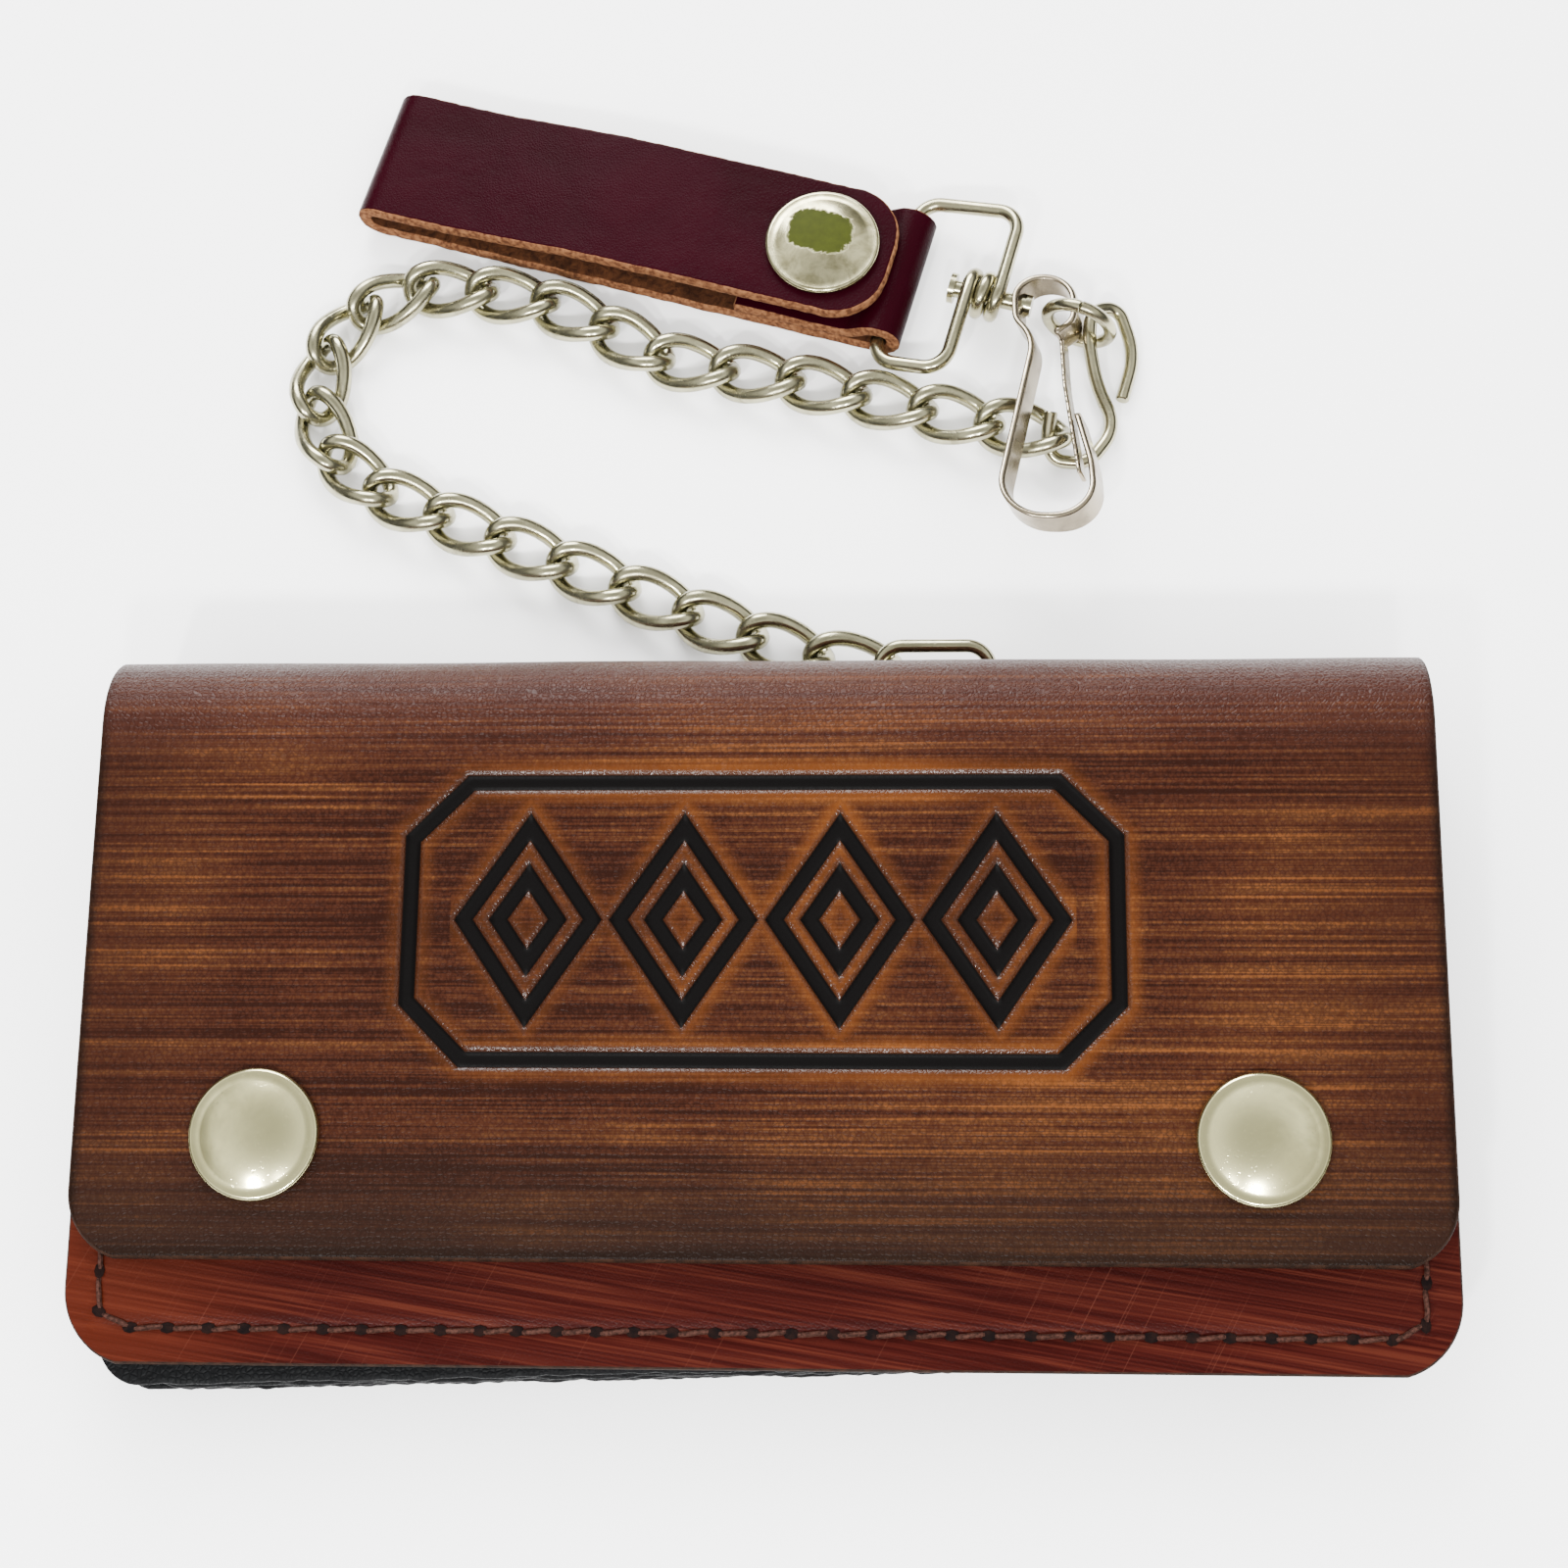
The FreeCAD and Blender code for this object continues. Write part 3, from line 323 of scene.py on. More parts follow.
class Effects:
    """The shared shader groups, built once."""

    def __init__(self) -> None:
        """Build every group."""
        self.grain = grain_group()
        self.streaks = streak_group()
        self.wear = tarnish_group()


# ------------------------------------------------------------------ tooled ornament
@dataclass(frozen=True)
class Tooling:
    """Nested lozenges in a long frame with cut corners, pressed into the flap. Millimetres."""

    centre_x: float = 0.6
    centre_y: float = 8.2
    half_length: float = 43.0
    half_height: float = 17.0
    cut: float = 7.0
    pitch: float = 19.0
    count: int = 4
    lozenge_reach: float = 7.9
    lozenge_half: float = 11.5
    inner_share: float = 0.46
    groove: float = 0.85
    depth: float = 0.55
    bevel: float = 0.5
    bevel_out: float = 0.35
    swell: float = 0.12
    swell_at: float = 2.4
    swell_width: float = 1.2

    @property
    def row(self) -> float:
        """Half the length of the row of lozenges."""
        return self.pitch * self.count / 2

    def distance(self, x: np.ndarray, y: np.ndarray) -> np.ndarray:
        """Distance to the nearest groove's middle line."""
        u, v = np.abs(x - self.centre_x), np.abs(y - self.centre_y)
        corner = (u + v - (self.half_length + self.half_height - self.cut)) / math.sqrt(2)
        sides = np.maximum(u - self.half_length, v - self.half_height)
        outer = np.abs(np.maximum(sides, corner))
        along = np.abs((x - self.centre_x + self.row) % self.pitch - self.pitch / 2)
        lean = math.hypot(1 / self.lozenge_reach, 1 / self.lozenge_half)
        level = along / self.lozenge_reach + v / self.lozenge_half
        big, small = np.abs(level - 1) / lean, np.abs(level - self.inner_share) / lean
        return np.minimum(outer, np.where(u < self.row, np.minimum(big, small), FAR))

    def lift(self, away: np.ndarray) -> np.ndarray:
        """Relief at a distance from a groove's middle: a sunk bed, and a low swell beside it."""
        pressed = np.clip((self.groove + self.bevel_out - away) / self.bevel, 0, 1)
        swell = np.exp(-((away - self.swell_at) / self.swell_width) ** 2) * self.swell
        return swell - self.depth * pressed * pressed * (3 - 2 * pressed)


TOOLING = Tooling()


def tooling_group() -> bpy.types.NodeTree:
    """Same grooves for the dye: distance to the nearest groove's middle line, in metres."""
    t = TOOLING

    def build(g: Graph, given: dict) -> dict:
        """Fill the tree."""
        x, y, _ = g.split(g.coords())
        shifted = g.less(x, t.centre_x * MM)
        u, v = g.size(shifted), g.size(g.less(y, t.centre_y * MM))
        reach = (t.half_length + t.half_height - t.cut) * MM
        corner = g.over(g.less(g.add(u, v), reach), math.sqrt(2))
        sides = g.math("MAXIMUM", g.less(u, t.half_length * MM), g.less(v, t.half_height * MM))
        outer = g.size(g.math("MAXIMUM", sides, corner))
        wrapped = g.math("FLOORED_MODULO", g.add(shifted, t.row * MM), t.pitch * MM)
        along = g.size(g.less(wrapped, t.pitch * MM / 2))
        reach_x, reach_y = t.lozenge_reach * MM, t.lozenge_half * MM
        lean = math.hypot(1 / reach_x, 1 / reach_y)
        level = g.add(g.over(along, reach_x), g.over(v, reach_y))
        big, small = (g.over(g.size(g.less(level, share)), lean) for share in (1.0, t.inner_share))
        inside = g.add(g.math("MINIMUM", big, small), g.math("GREATER_THAN", u, t.row * MM))
        return {"Distance": g.math("MINIMUM", outer, inside)}

    return shader_group("Groove distance", {}, ("Distance",), build)


# ------------------------------------------------------------------ finishes
class Finish:
    """Base of every finish: makes one material with one principled shader."""

    name: str = "finish"

    def __init__(self, effects: Effects) -> None:
        """Build the material."""
        self.effects = effects
        self.material = bpy.data.materials.new(self.name)
        self.material.use_nodes = True
        self.graph = Graph(self.material.node_tree)
        self.shader = self.graph.node("ShaderNodeBsdfPrincipled")
        self.graph.node("ShaderNodeOutputMaterial", {"Surface": self.shader.outputs[0]})
        self.dress(self.graph)

    def dress(self, g: Graph) -> None:
        """Feed the shader."""
        raise NotImplementedError

    def feed(self, **values: object) -> None:
        """Set or link the shader's inputs; a name's underscores stand for spaces."""
        for key, value in values.items():
            self.graph.feed(self.shader.inputs[key.replace("_", " ")], value)

    def grain(self, pebbles: float, creases: float) -> Socket:
        """Height of the leather's grain."""
        return self.graph.group(self.effects.grain, Pebbles=pebbles, Creases=creases)["Height"]

    def bump(self, height: object, distance: float, strength: float,
             below: object = None) -> Socket:
        """Normal from a height; distance in millimetres."""
        values = {"Height": height, "Distance": distance * MM, "Strength": strength}
        if below is not None:
            values["Normal"] = below
        return self.graph.node("ShaderNodeBump", values).outputs[0]


class DyedLeather(Finish):
    """Brown hide, streaked by hand, darker at its edges, with matt black grooves and bright bevels.

    Each pair says where a shade starts and where it is full, in metres on the wallet's own axes.
    """

    name: str = "dyed_leather"
    ends: Flat = (0.056, 0.084)
    low: Flat = (-0.013, -0.031)
    low_brim: Flat = (-0.0305, -0.0322)
    side_brim: Flat = (0.0807, 0.0822)
    fold: Flat = (0.026, 0.041)
    on_top: Flat = (0.012, 0.014)
    halo: Flat = (0.0036, 0.0010)
    bevel: Flat = (0.0017, 0.0011)
    bed: Flat = (0.00108, 0.00086)
    darker: float = 0.035

    def dress(self, g: Graph) -> None:
        """Feed the shader."""
        x, y, z = g.split(g.coords())
        streaks = g.group(self.effects.streaks)
        grain = self.grain(1700.0, 420.0)
        patches = g.spread(streaks["Patches"], 0.35, 0.68)
        specks = g.about(g.noise(1500.0, 2.0, 0.6), 0.55)
        share = g.add(streaks["Streaks"], g.about(patches, 0.34), specks)
        share = g.add(g.less(share, self.darker), g.about(grain, 0.35))
        base = g.ramp(share, ((0.12, "#180804"), (0.32, "#220E07"), (0.50, "#2A1309"),
                              (0.66, "#301A0C"), (0.80, "#3B210F"), (0.96, "#4C2A12")))
        side = g.size(x)
        brim = g.math("MAXIMUM", g.spread(y, *self.low_brim), g.spread(side, *self.side_brim))
        fold = g.spread(y, *self.fold)
        on_top = g.spread(z, *self.on_top)
        groove = g.group(tooling_group())["Distance"]
        halo, bevel, bed = (g.times(g.spread(groove, *reach), on_top)
                            for reach in (self.halo, self.bevel, self.bed))
        halo = g.times(halo, g.add(0.16, g.times(patches, 0.45)))
        base = g.tint(base, ((g.spread(side, *self.ends), 0.45, "#1C0B06"),
                             (g.spread(y, *self.low), 0.78, "#150C08"), (brim, 0.75, "#0B0604"),
                             (fold, 0.50, "#36170F"), (halo, 1.0, "#572E0C"),
                             (bevel, 0.65, "#200D06"), (bed, 1.0, "#040303")))
        rough = g.less(g.add(0.32, g.times(grain, 0.14)), g.times(bevel, 0.16))
        shine = g.add(0.045, g.times(fold, 0.10), g.times(g.less(bevel, bed), 0.16))
        plain = g.less(1.0, bed)
        coarse = self.bump(g.times(streaks["Fine"], plain), 0.05, 0.5)
        creases = g.times(grain, g.times(plain, g.add(0.7, fold)))
        self.feed(Base_Color=base, Roughness=g.add(rough, g.times(bed, 0.30)),
                  Specular_IOR_Level=shine, Normal=self.bump(creases, 0.12, 0.85, coarse))


class RedLeather(Finish):
    """Red-brown hide with slanted dark streaks and fine scratches."""

    name: str = "red_leather"
    slant: float = math.radians(9)
    scratch_slant: float = math.radians(-62)
    light_left: Flat = (-0.050, -0.082)

    def dress(self, g: Graph) -> None:
        """Feed the shader."""
        streaks = g.group(self.effects.streaks, Turn=(0.0, 0.0, self.slant))["Streaks"]
        base = g.ramp(streaks, ((0.22, "#1C0302"), (0.42, "#230604"),
                                (0.60, "#290A06"), (0.85, "#34130B")))
        left = g.spread(g.split(g.coords())[0], *self.light_left)
        level = g.turned(g.coords(), (0, 0, self.scratch_slant))
        lines = g.vector("MULTIPLY", level, (40.0, 5200.0, 1.0))
        fine = g.spread(g.noise(1.0, 1.0, 0.4, vector=lines), 0.68, 0.76)
        base = g.tint(base, ((left, 0.42, "#3E1608"), (fine, 0.30, "#4A2418")))
        self.feed(Base_Color=base, Roughness=g.add(0.34, g.times(fine, 0.2)),
                  Specular_IOR_Level=0.05, Normal=self.bump(self.grain(1900.0, 600.0), 0.05, 0.5))


class BlackLeather(Finish):
    """Thin black hide, nearly matt."""

    name: str = "black_leather"

    def dress(self, g: Graph) -> None:
        """Feed the shader."""
        grain = self.grain(1500.0, 380.0)
        self.feed(Base_Color=g.mix(grain, "#030304", "#0C0D0E"), Roughness=0.52,
                  Specular_IOR_Level=0.06, Normal=self.bump(grain, 0.12, 0.8))


class Burgundy(Finish):
    """Smooth burgundy grain side of the belt strap."""

    name: str = "burgundy_leather"

    def dress(self, g: Graph) -> None:
        """Feed the shader."""
        cloud = g.noise(60.0, 3.0, 0.55, 0.3)
        base = g.ramp(cloud, ((0.3, "#150104"), (0.55, "#190106"), (0.8, "#1D0208")))
        normal = self.bump(self.grain(2300.0, 300.0), 0.06, 0.6, self.bump(cloud, 0.45, 0.6))
        self.feed(Base_Color=base, Roughness=0.32, Specular_IOR_Level=0.018, Normal=normal)


class GapShadedSuede(Finish):
    """Tan flesh side of the belt strap, darkened as painted shade of the gap between its halves."""

    name: str = "tan_suede"

    def dress(self, g: Graph) -> None:
        """Feed the shader."""
        fibre = g.noise(900.0, 5.0, 0.7, 0.5)
        # both colours are darker than the tan edge: the suede's own tone plus painted gap shade
        base = g.mix(g.spread(fibre, 0.3, 0.7), "#1E0F08", "#3E2414")
        base = g.tint(base, ((g.spread(g.noise(130.0), 0.45, 0.7), 0.4, "#1A0C06"),))
        self.feed(Base_Color=base, Roughness=0.95, Specular_IOR_Level=0.05,
                  Normal=self.bump(fibre, 0.25, 0.9))


class RawEdge(Finish):
    """Dark brown cut edge and flesh side of the cover and the front panel."""

    name: str = "raw_edge"

    def dress(self, g: Graph) -> None:
        """Feed the shader."""
        fibre = g.noise(700.0, 5.0, 0.7, 0.5)
        self.feed(Base_Color=g.mix(g.spread(fibre, 0.3, 0.7), "#0F0704", "#24140B"), Roughness=0.72,
                  Specular_IOR_Level=0.06, Normal=self.bump(fibre, 0.12, 0.7))


@dataclass(frozen=True)
class Look:
    """Numbers of one metal or plain finish; wear is how much rougher its cloudy patches are."""

    name: str
    light: str
    dark: str
    rough: float
    size: float
    wear: float = 0.0


class Metal(Finish):
    """Plated metal with cloudy wear."""

    cloud_share: float = 0.7

    def __init__(self, effects: Effects, look: Look) -> None:
        """Keep the look and build the material."""
        self.look = look
        self.name = look.name
        super().__init__(effects)

    def plating(self, g: Graph) -> tuple[Socket, bpy.types.bpy_prop_collection]:
        """Colour of the plating, and the wear that clouds it."""
        wear = g.group(self.effects.wear, Size=self.look.size)
        cloud = g.times(wear["Cloud"], self.cloud_share)
        return g.mix(cloud, self.look.light, self.look.dark), wear

    def dress(self, g: Graph) -> None:
        """Feed the shader."""
        base, wear = self.plating(g)
        self.feed(Base_Color=base, Metallic=1.0,
                  Roughness=g.add(self.look.rough, g.times(wear["Cloud"], self.look.wear)),
                  Normal=self.bump(wear["Pits"], -0.012, 0.6))


class StrapCapMetal(Metal):
    """Satin cap with a green patch of corrosion in its middle."""

    cloud_share: float = 0.8
    patch: Flat = (4.5, 3.4)

    def __init__(self, effects: Effects, look: Look, middle: Vector, turn: float) -> None:
        """Keep the patch's place and heading, and build the material.

        Args:
            effects: the shared shader groups.
            look: numbers of the plating.
            middle: middle of the patch in millimetres; its height doesn't matter.
            turn: heading of the patch in degrees.
        """
        self.middle, self.turn = middle, turn
        super().__init__(effects, look)

    def dress(self, g: Graph) -> None:
        """Feed the shader."""
        base, _ = self.plating(g)
        away = g.vector("SUBTRACT", g.coords(), self.middle * MM)
        level = g.split(g.turned(away, (0.0, 0.0, -math.radians(self.turn))))
        sides = [g.math("POWER", g.over(g.size(part), half * MM), 3.0)
                 for part, half in zip(level, self.patch)]
        worn = g.times(g.noise(700.0, 4.0, 0.7, 0.6), 1.6)
        patch = g.spread(g.add(*sides, worn), 2.0, 1.6)
        green = g.mix(g.noise(900.0, 3.0, 0.6), "#22260A", "#31360C")
        self.feed(Base_Color=g.mix(patch, base, green), Metallic=g.less(1.0, patch),
                  Specular_IOR_Level=0.05, Roughness=g.add(self.look.rough, g.times(patch, 0.45)))


class Plain(Metal):
    """One colour without metal, broken a little by noise."""

    def dress(self, g: Graph) -> None:
        """Feed the shader."""
        noise = g.noise(self.look.size, 3.0, 0.6)
        base = g.mix(g.spread(noise, 0.3, 0.7), self.look.dark, self.look.light)
        self.feed(Base_Color=base, Roughness=self.look.rough, Specular_IOR_Level=0.05,
                  Normal=self.bump(noise, 0.06, 0.5))


class Finishes:
    """Every finish that more than one sub-assembly may wear."""

    def __init__(self) -> None:
        """Build all materials."""
        self.effects = Effects()
        self.dyed, self.red, self.black, self.burgundy, self.suede, self.edge = (
            kind(self.effects).material
            for kind in (DyedLeather, RedLeather, BlackLeather, Burgundy, GapShadedSuede, RawEdge))
        self.chain, self.wire, self.strip, self.cap, self.brass = (
            Metal(self.effects, look).material for look in (
                Look("chain_nickel", "#A8A488", "#76725C", 0.19, 300.0, 0.12),
                Look("wire_nickel", "#ACA78A", "#7A755E", 0.17, 240.0, 0.12),
                Look("strip_steel", "#9C917E", "#6E6454", 0.18, 200.0, 0.12),
                Look("satin_cap", "#E6E0AC", "#A09A70", 0.15, 95.0, 0.10),
                Look("zip_brass", "#C9A55A", "#9A7A38", 0.25, 200.0, 0.15)))
        self.tan, self.thread, self.hole_shade, self.cloth = (
            Plain(self.effects, look).material for look in (
                Look("tan_edge", "#6A472E", "#3A2114", 0.95, 1500.0),
                Look("brown_thread", "#35201A", "#1A0D09", 0.75, 2400.0),
                # near-black ovals: painted shade of the stitch holes
                Look("stitch_hole_painted_shade", "#120806", "#070404", 0.9, 900.0),
                Look("black_tape", "#232220", "#0E0D0D", 0.9, 1800.0)))


# ------------------------------------------------------------------ mesh tools
def unit(vectors: np.ndarray) -> np.ndarray:
    """Vectors brought to length one, along the last axis."""
    return vectors / np.linalg.norm(vectors, axis=-1, keepdims=True)


def distinct(spots: Sequence[np.ndarray], least: float) -> np.ndarray:
    """Spots of a route without those that lie on the one before."""
    spots = np.array(spots)
    return spots[np.append(True, np.linalg.norm(np.diff(spots, axis=0), axis=1) > least)]


def directions(spots: np.ndarray) -> np.ndarray:
    """Direction of a route at each of its spots."""
    runs = unit(np.diff(spots, axis=0))
    return unit(np.vstack([runs[:1], runs[:-1] + runs[1:], runs[-1:]]))


class Track:
    """Flat route whose inner corners are rounded, walked by distance."""

    def __init__(self, points: Sequence[Flat], radii: Sequence[float], step: float) -> None:
        """Lay out the route.

        Args:
            points: corners in order.
            radii: radius at each corner; the first and last are not used.
            step: degrees between two spots on an arc.
        """
        corners = [np.array(point, float) for point in points]
        spots = [corners[0]]
        for index in range(1, len(corners)):
            corner = corners[index]
            if index == len(corners) - 1 or radii[index] == 0:
                spots.append(corner)
                continue
            before, after = unit(corner - corners[index - 1]), unit(corners[index + 1] - corner)
            turn = math.atan2(before[0] * after[1] - before[1] * after[0], before @ after)
            reach = radii[index] * math.tan(abs(turn) / 2)
            side = np.array([-before[1], before[0]]) * radii[index] * math.copysign(1, turn)
            centre = corner - before * reach + side
            count = max(2, math.ceil(math.degrees(abs(turn)) / step))
            for part in range(count + 1):
                c, s = math.cos(turn * part / count), math.sin(turn * part / count)
                spots.append(centre - np.array([[c, -s], [s, c]]) @ side)
        self.spots = distinct(spots, 1e-6)
        steps = np.linalg.norm(np.diff(self.spots, axis=0), axis=1)
        self.marks = np.append(0, np.cumsum(steps))
        self.length = float(self.marks[-1])
        ahead = directions(self.spots)
        self.left = np.stack([-ahead[:, 1], ahead[:, 0]], axis=1)

    def at(self, distance: np.ndarray, offset: float = 0.0) -> np.ndarray:
        """Spots at distances along the route, moved to its left by an offset."""
        place, left = (
            np.stack([np.interp(distance, self.marks, values[:, k]) for k in (0, 1)], axis=-1)
            for values in (self.spots, self.left))
        return place + unit(left) * offset

    def sweep(self, distance: np.ndarray, offset: float, across: np.ndarray,
              order: tuple[int, int, int]) -> np.ndarray:
        """Grid of spots that a width makes along the route.

        Args:
            distance: mark of each row.
            offset: how far the grid lies to the route's left.
            across: coordinate of each spot at right angles to the route's plane, rows by columns.
            order: which of the route's two coordinates (0, 1) and the width (2) is X, Y and Z.

        Returns:
            Spots, rows by columns by three.
        """
        flat = np.repeat(self.at(distance, offset)[:, None, :], across.shape[1], 1)
        return np.concatenate([flat, across[..., None]], axis=-1)[..., list(order)]


def graded(marks: Sequence[float], steps: Sequence[float]) -> np.ndarray:
    """Values from the first mark to the last, with its own step between each two marks."""
    parts = [np.linspace(low, high, max(2, math.ceil(abs(high - low) / step) + 1))[:-1]
             for low, high, step in zip(marks, marks[1:], steps)]
    return np.append(np.concatenate(parts), marks[-1])


def width_shares(edge: float, fine: float, broad: float) -> np.ndarray:
    """Shares of a half width, -1 to 1, in fine steps beyond a share and in broad ones within it."""
    return graded((-1, -edge, edge, 1), (fine, broad, fine))


def corner_loss(corner: float, distance: np.ndarray) -> np.ndarray:
    """What a rounded corner takes off a width at a distance from the edge."""
    return corner - np.sqrt(np.maximum(0, corner ** 2 - np.maximum(0, corner - distance) ** 2))


def waves(x: np.ndarray, y: np.ndarray, seed: int, size: float, count: int = 7) -> np.ndarray:
    """Smooth random waves between about -1 and 1.

    Args:
        x: first coordinate of each spot in millimetres.
        y: second coordinate.
        seed: seed of the waves.
        size: usual length of a wave in millimetres.
        count: number of waves that are summed.

    Returns:
        One value for each spot.
    """
    source = np.random.default_rng(seed)
    total = np.zeros(np.broadcast(x, y).shape)
    for _ in range(count):
        angle, phase = source.uniform(0, 2 * math.pi, 2)
        length = size * source.uniform(0.6, 1.7)
        along = x * math.cos(angle) + y * math.sin(angle)
        total = total + np.sin(2 * math.pi * along / length + phase)
    return total / (count / 2)


def ragged_edge(along: np.ndarray, seed: int, layers: Sequence[Flat]) -> np.ndarray:
    """Unevenness of a cut edge, from layers of depth and length of a wave."""
    return sum(waves(along, along * 0, seed + index, length) * depth
               for index, (depth, length) in enumerate(layers))


def set_out(name: str, data: bpy.types.ID) -> bpy.types.Object:
    """Object of the given data, put in the scene."""
    made = bpy.data.objects.new(name, data)
    bpy.context.scene.collection.objects.link(made)
    return made


def mesh_piece(name: str, shell: Shell, materials: Sequence[bpy.types.Material],
               kinds: Sequence[int] | None = None, sharp: float = 40.0) -> bpy.types.Object:
    """Make an object from spots in millimetres and faces, which it turns outwards.

    Args:
        name: name of the piece.
        shell: places of the corners, and corners of each face.
        materials: finishes of the piece.
        kinds: index of each face's finish.
        sharp: edges turned by more than this many degrees stay crisp.

    Returns:
        The object, at the origin.
    """
    spots, faces = shell
    data = bpy.data.meshes.new(name)
    data.from_pydata((np.asarray(spots, float) * MM).tolist(), [],
                     [list(map(int, face)) for face in faces])
    for material in materials:
        data.materials.append(material)
    if kinds is not None:
        data.polygons.foreach_set("material_index", np.asarray(kinds, np.int32))
    work = bmesh.new()
    work.from_mesh(data)
    bmesh.ops.recalc_face_normals(work, faces=work.faces)
    for face in work.faces:
        face.smooth = True
    for edge in work.edges:
        edge.smooth = not edge.is_manifold or edge.calc_face_angle(0.0) < math.radians(sharp)
    work.to_mesh(data)
    work.free()
    return set_out(name, data)


def walls(rings: int, sides: int) -> list[list[int]]:
    """Faces between each ring of corners and the next one."""
    faces = []
    for ring in range(rings - 1):
        low = ring * sides + np.arange(sides)
        high = np.roll(low, -1)
        faces += np.stack([low, high, high + sides, low + sides], axis=1).tolist()
    return faces


def slab(outer: np.ndarray, inner: np.ndarray, bulge: float,
         rings: int = 5) -> tuple[Shell, list[int]]:
    """Closed sheet between two grids of spots, with a rounded rim.

    Args:
        outer: spots of the grain side, rows by columns.
        inner: spots of the flesh side, same shape.
        bulge: how far the rim stands out, as a share of half the thickness.
        rings: faces across the rim.

    Returns:
        Spots and faces, and the finish index of each face: 0 grain, 1 flesh, 2 rim.
    """
    rows, columns = outer.shape[:2]
    count = rows * columns
    index = np.arange(count).reshape(rows, columns)
    quads = np.stack([index[:-1, :-1], index[:-1, 1:], index[1:, 1:], index[1:, :-1]],
                     axis=-1).reshape(-1, 4)
    loop = np.concatenate([index[0, :-1], index[:-1, -1], index[-1, :0:-1], index[:0:-1, 0]])
    top, under = outer.reshape(-1, 3)[loop], inner.reshape(-1, 3)[loop]
    middle, half = (top + under) / 2, (top - under) / 2
    out = unit(np.cross(np.roll(middle, -1, axis=0) - np.roll(middle, 1, axis=0), half))
    if (out * (middle - middle.mean(axis=0))).sum() < 0:
        out = -out
    out = out * np.linalg.norm(half, axis=1)[:, None] * bulge
    rim = [middle + half * math.cos(angle) + out * math.sin(angle)
           for angle in (math.pi * ring / rings for ring in range(1, rings))]
    spots = np.vstack([outer.reshape(-1, 3), inner.reshape(-1, 3)] + rim)
    between = [2 * count + ring * len(loop) + np.arange(len(loop)) for ring in range(rings - 1)]
    levels = [loop] + between + [loop + count]
    faces = quads.tolist() + (quads[:, ::-1] + count).tolist()
    for near, far in zip(levels, levels[1:]):
        faces += np.stack([near, np.roll(near, -1), np.roll(far, -1), far], axis=1).tolist()
    return (spots, faces), [0] * len(quads) + [1] * len(quads) + [2] * rings * len(loop)


def tube(route: np.ndarray, radius: float, sides: int = 14, round_ends: float = 0.15) -> Shell:
    """Wire along a route, with slightly rounded cut ends.

    Args:
        route: spots of the middle line.
        radius: half the wire's thickness.
        sides: faces round the wire.
        round_ends: size of the ends' rounding, as a share of the radius.

    Returns:
        Spots and faces.
    """
    ahead = directions(route)
    spare = np.array([0, 0, 1.0]) if abs(ahead[0][2]) < 0.8 else np.array([1.0, 0, 0])
    first = np.cross(ahead[0], spare)
    frames = []
    for along in ahead:
        first = unit(first - along * (first @ along))
        frames.append((first, np.cross(along, first)))
    last = len(route) - 1
    ends, small = round_ends * radius, 1 - round_ends
    between = [(k, 0.0, 1.0) for k in range(last + 1)]
    angles = 2 * math.pi * np.arange(sides) / sides
    cosines, sines = np.cos(angles)[:, None], np.sin(angles)[:, None]
    rings = []
    for k, push, scale in [(0, -ends, small)] + between + [(last, ends, small)]:
        circle = cosines * frames[k][0] + sines * frames[k][1]
        rings.append(route[k] + ahead[k] * push + radius * scale * circle)
    caps = [list(range(sides))[::-1], [(len(rings) - 1) * sides + k for k in range(sides)]]
    return np.vstack(rings), caps + walls(len(rings), sides)


def soften(points: Sequence[Sequence[float]], radii: Sequence[float] | None = None,
           step: float = 6.0, share: float = 0.45) -> np.ndarray:
    """Spots along a spatial route with rounded corners.

    Args:
        points: corners of the route.
        radii: radius at each corner, or None to round each as softly as its runs allow.
        step: degrees between two spots of an arc.
        share: part of the shorter run that a soft corner takes.

    Returns:
        Array of spots.
    """
    corners = np.array(points, float)
    spots = [corners[0]]
    for k in range(1, len(corners) - 1):
        before, after = corners[k] - corners[k - 1], corners[k + 1] - corners[k]
        shorter = min(np.linalg.norm(before), np.linalg.norm(after))
        before, after = unit(before), unit(after)
        turn = math.acos(max(-1.0, min(1.0, float(before @ after))))
        radius = share * shorter / math.tan(turn / 2) if radii is None else radii[k]
        inward = unit(after - before * (before @ after))
        centre = corners[k] - before * radius * math.tan(turn / 2) + inward * radius
        count = max(2, math.ceil(math.degrees(turn) / step))
        for angle in (turn * part / count for part in range(count + 1)):
            spots.append(centre - inward * radius * math.cos(angle)
                         + before * radius * math.sin(angle))
    return distinct(spots + [corners[-1]], 1e-4)


def lathe(profile: Sequence[Flat], sides: int = 72) -> Shell:
    """Closed turned solid from a profile of radius and height that starts and ends on the axis."""
    angles = 2 * math.pi * np.arange(sides) / sides
    rings = [np.stack([r * np.cos(angles), r * np.sin(angles), np.full(sides, z)], axis=1)
             for r, z in profile[1:-1]]
    poles = np.array([[0, 0, profile[0][1]], [0, 0, profile[-1][1]]])
    faces = walls(len(rings), sides)
    last, base = len(rings) * sides, (len(rings) - 1) * sides
    for k in range(sides):
        after = (k + 1) % sides
        faces += [[last, after, k], [last + 1, base + k, base + after]]
    return np.vstack(rings + [poles]), faces


def sheet(x: np.ndarray, y: np.ndarray, top: np.ndarray) -> tuple[np.ndarray, np.ndarray]:
    """Upper and lower grid of a flat sheet with the given height."""
    return np.stack([x, y, top], axis=-1), np.stack([x, y, x * 0], axis=-1)


def moved(spots: np.ndarray, matrix: Matrix) -> np.ndarray:
    """Spots taken through a matrix whose lengths are millimetres."""
    m = np.array(matrix)
    return spots @ m[:3, :3].T + m[:3, 3]


def shifted(shell: Shell, matrix: Matrix) -> Shell:
    """Spots and faces, the spots taken through a matrix."""
    return moved(shell[0], matrix), shell[1]


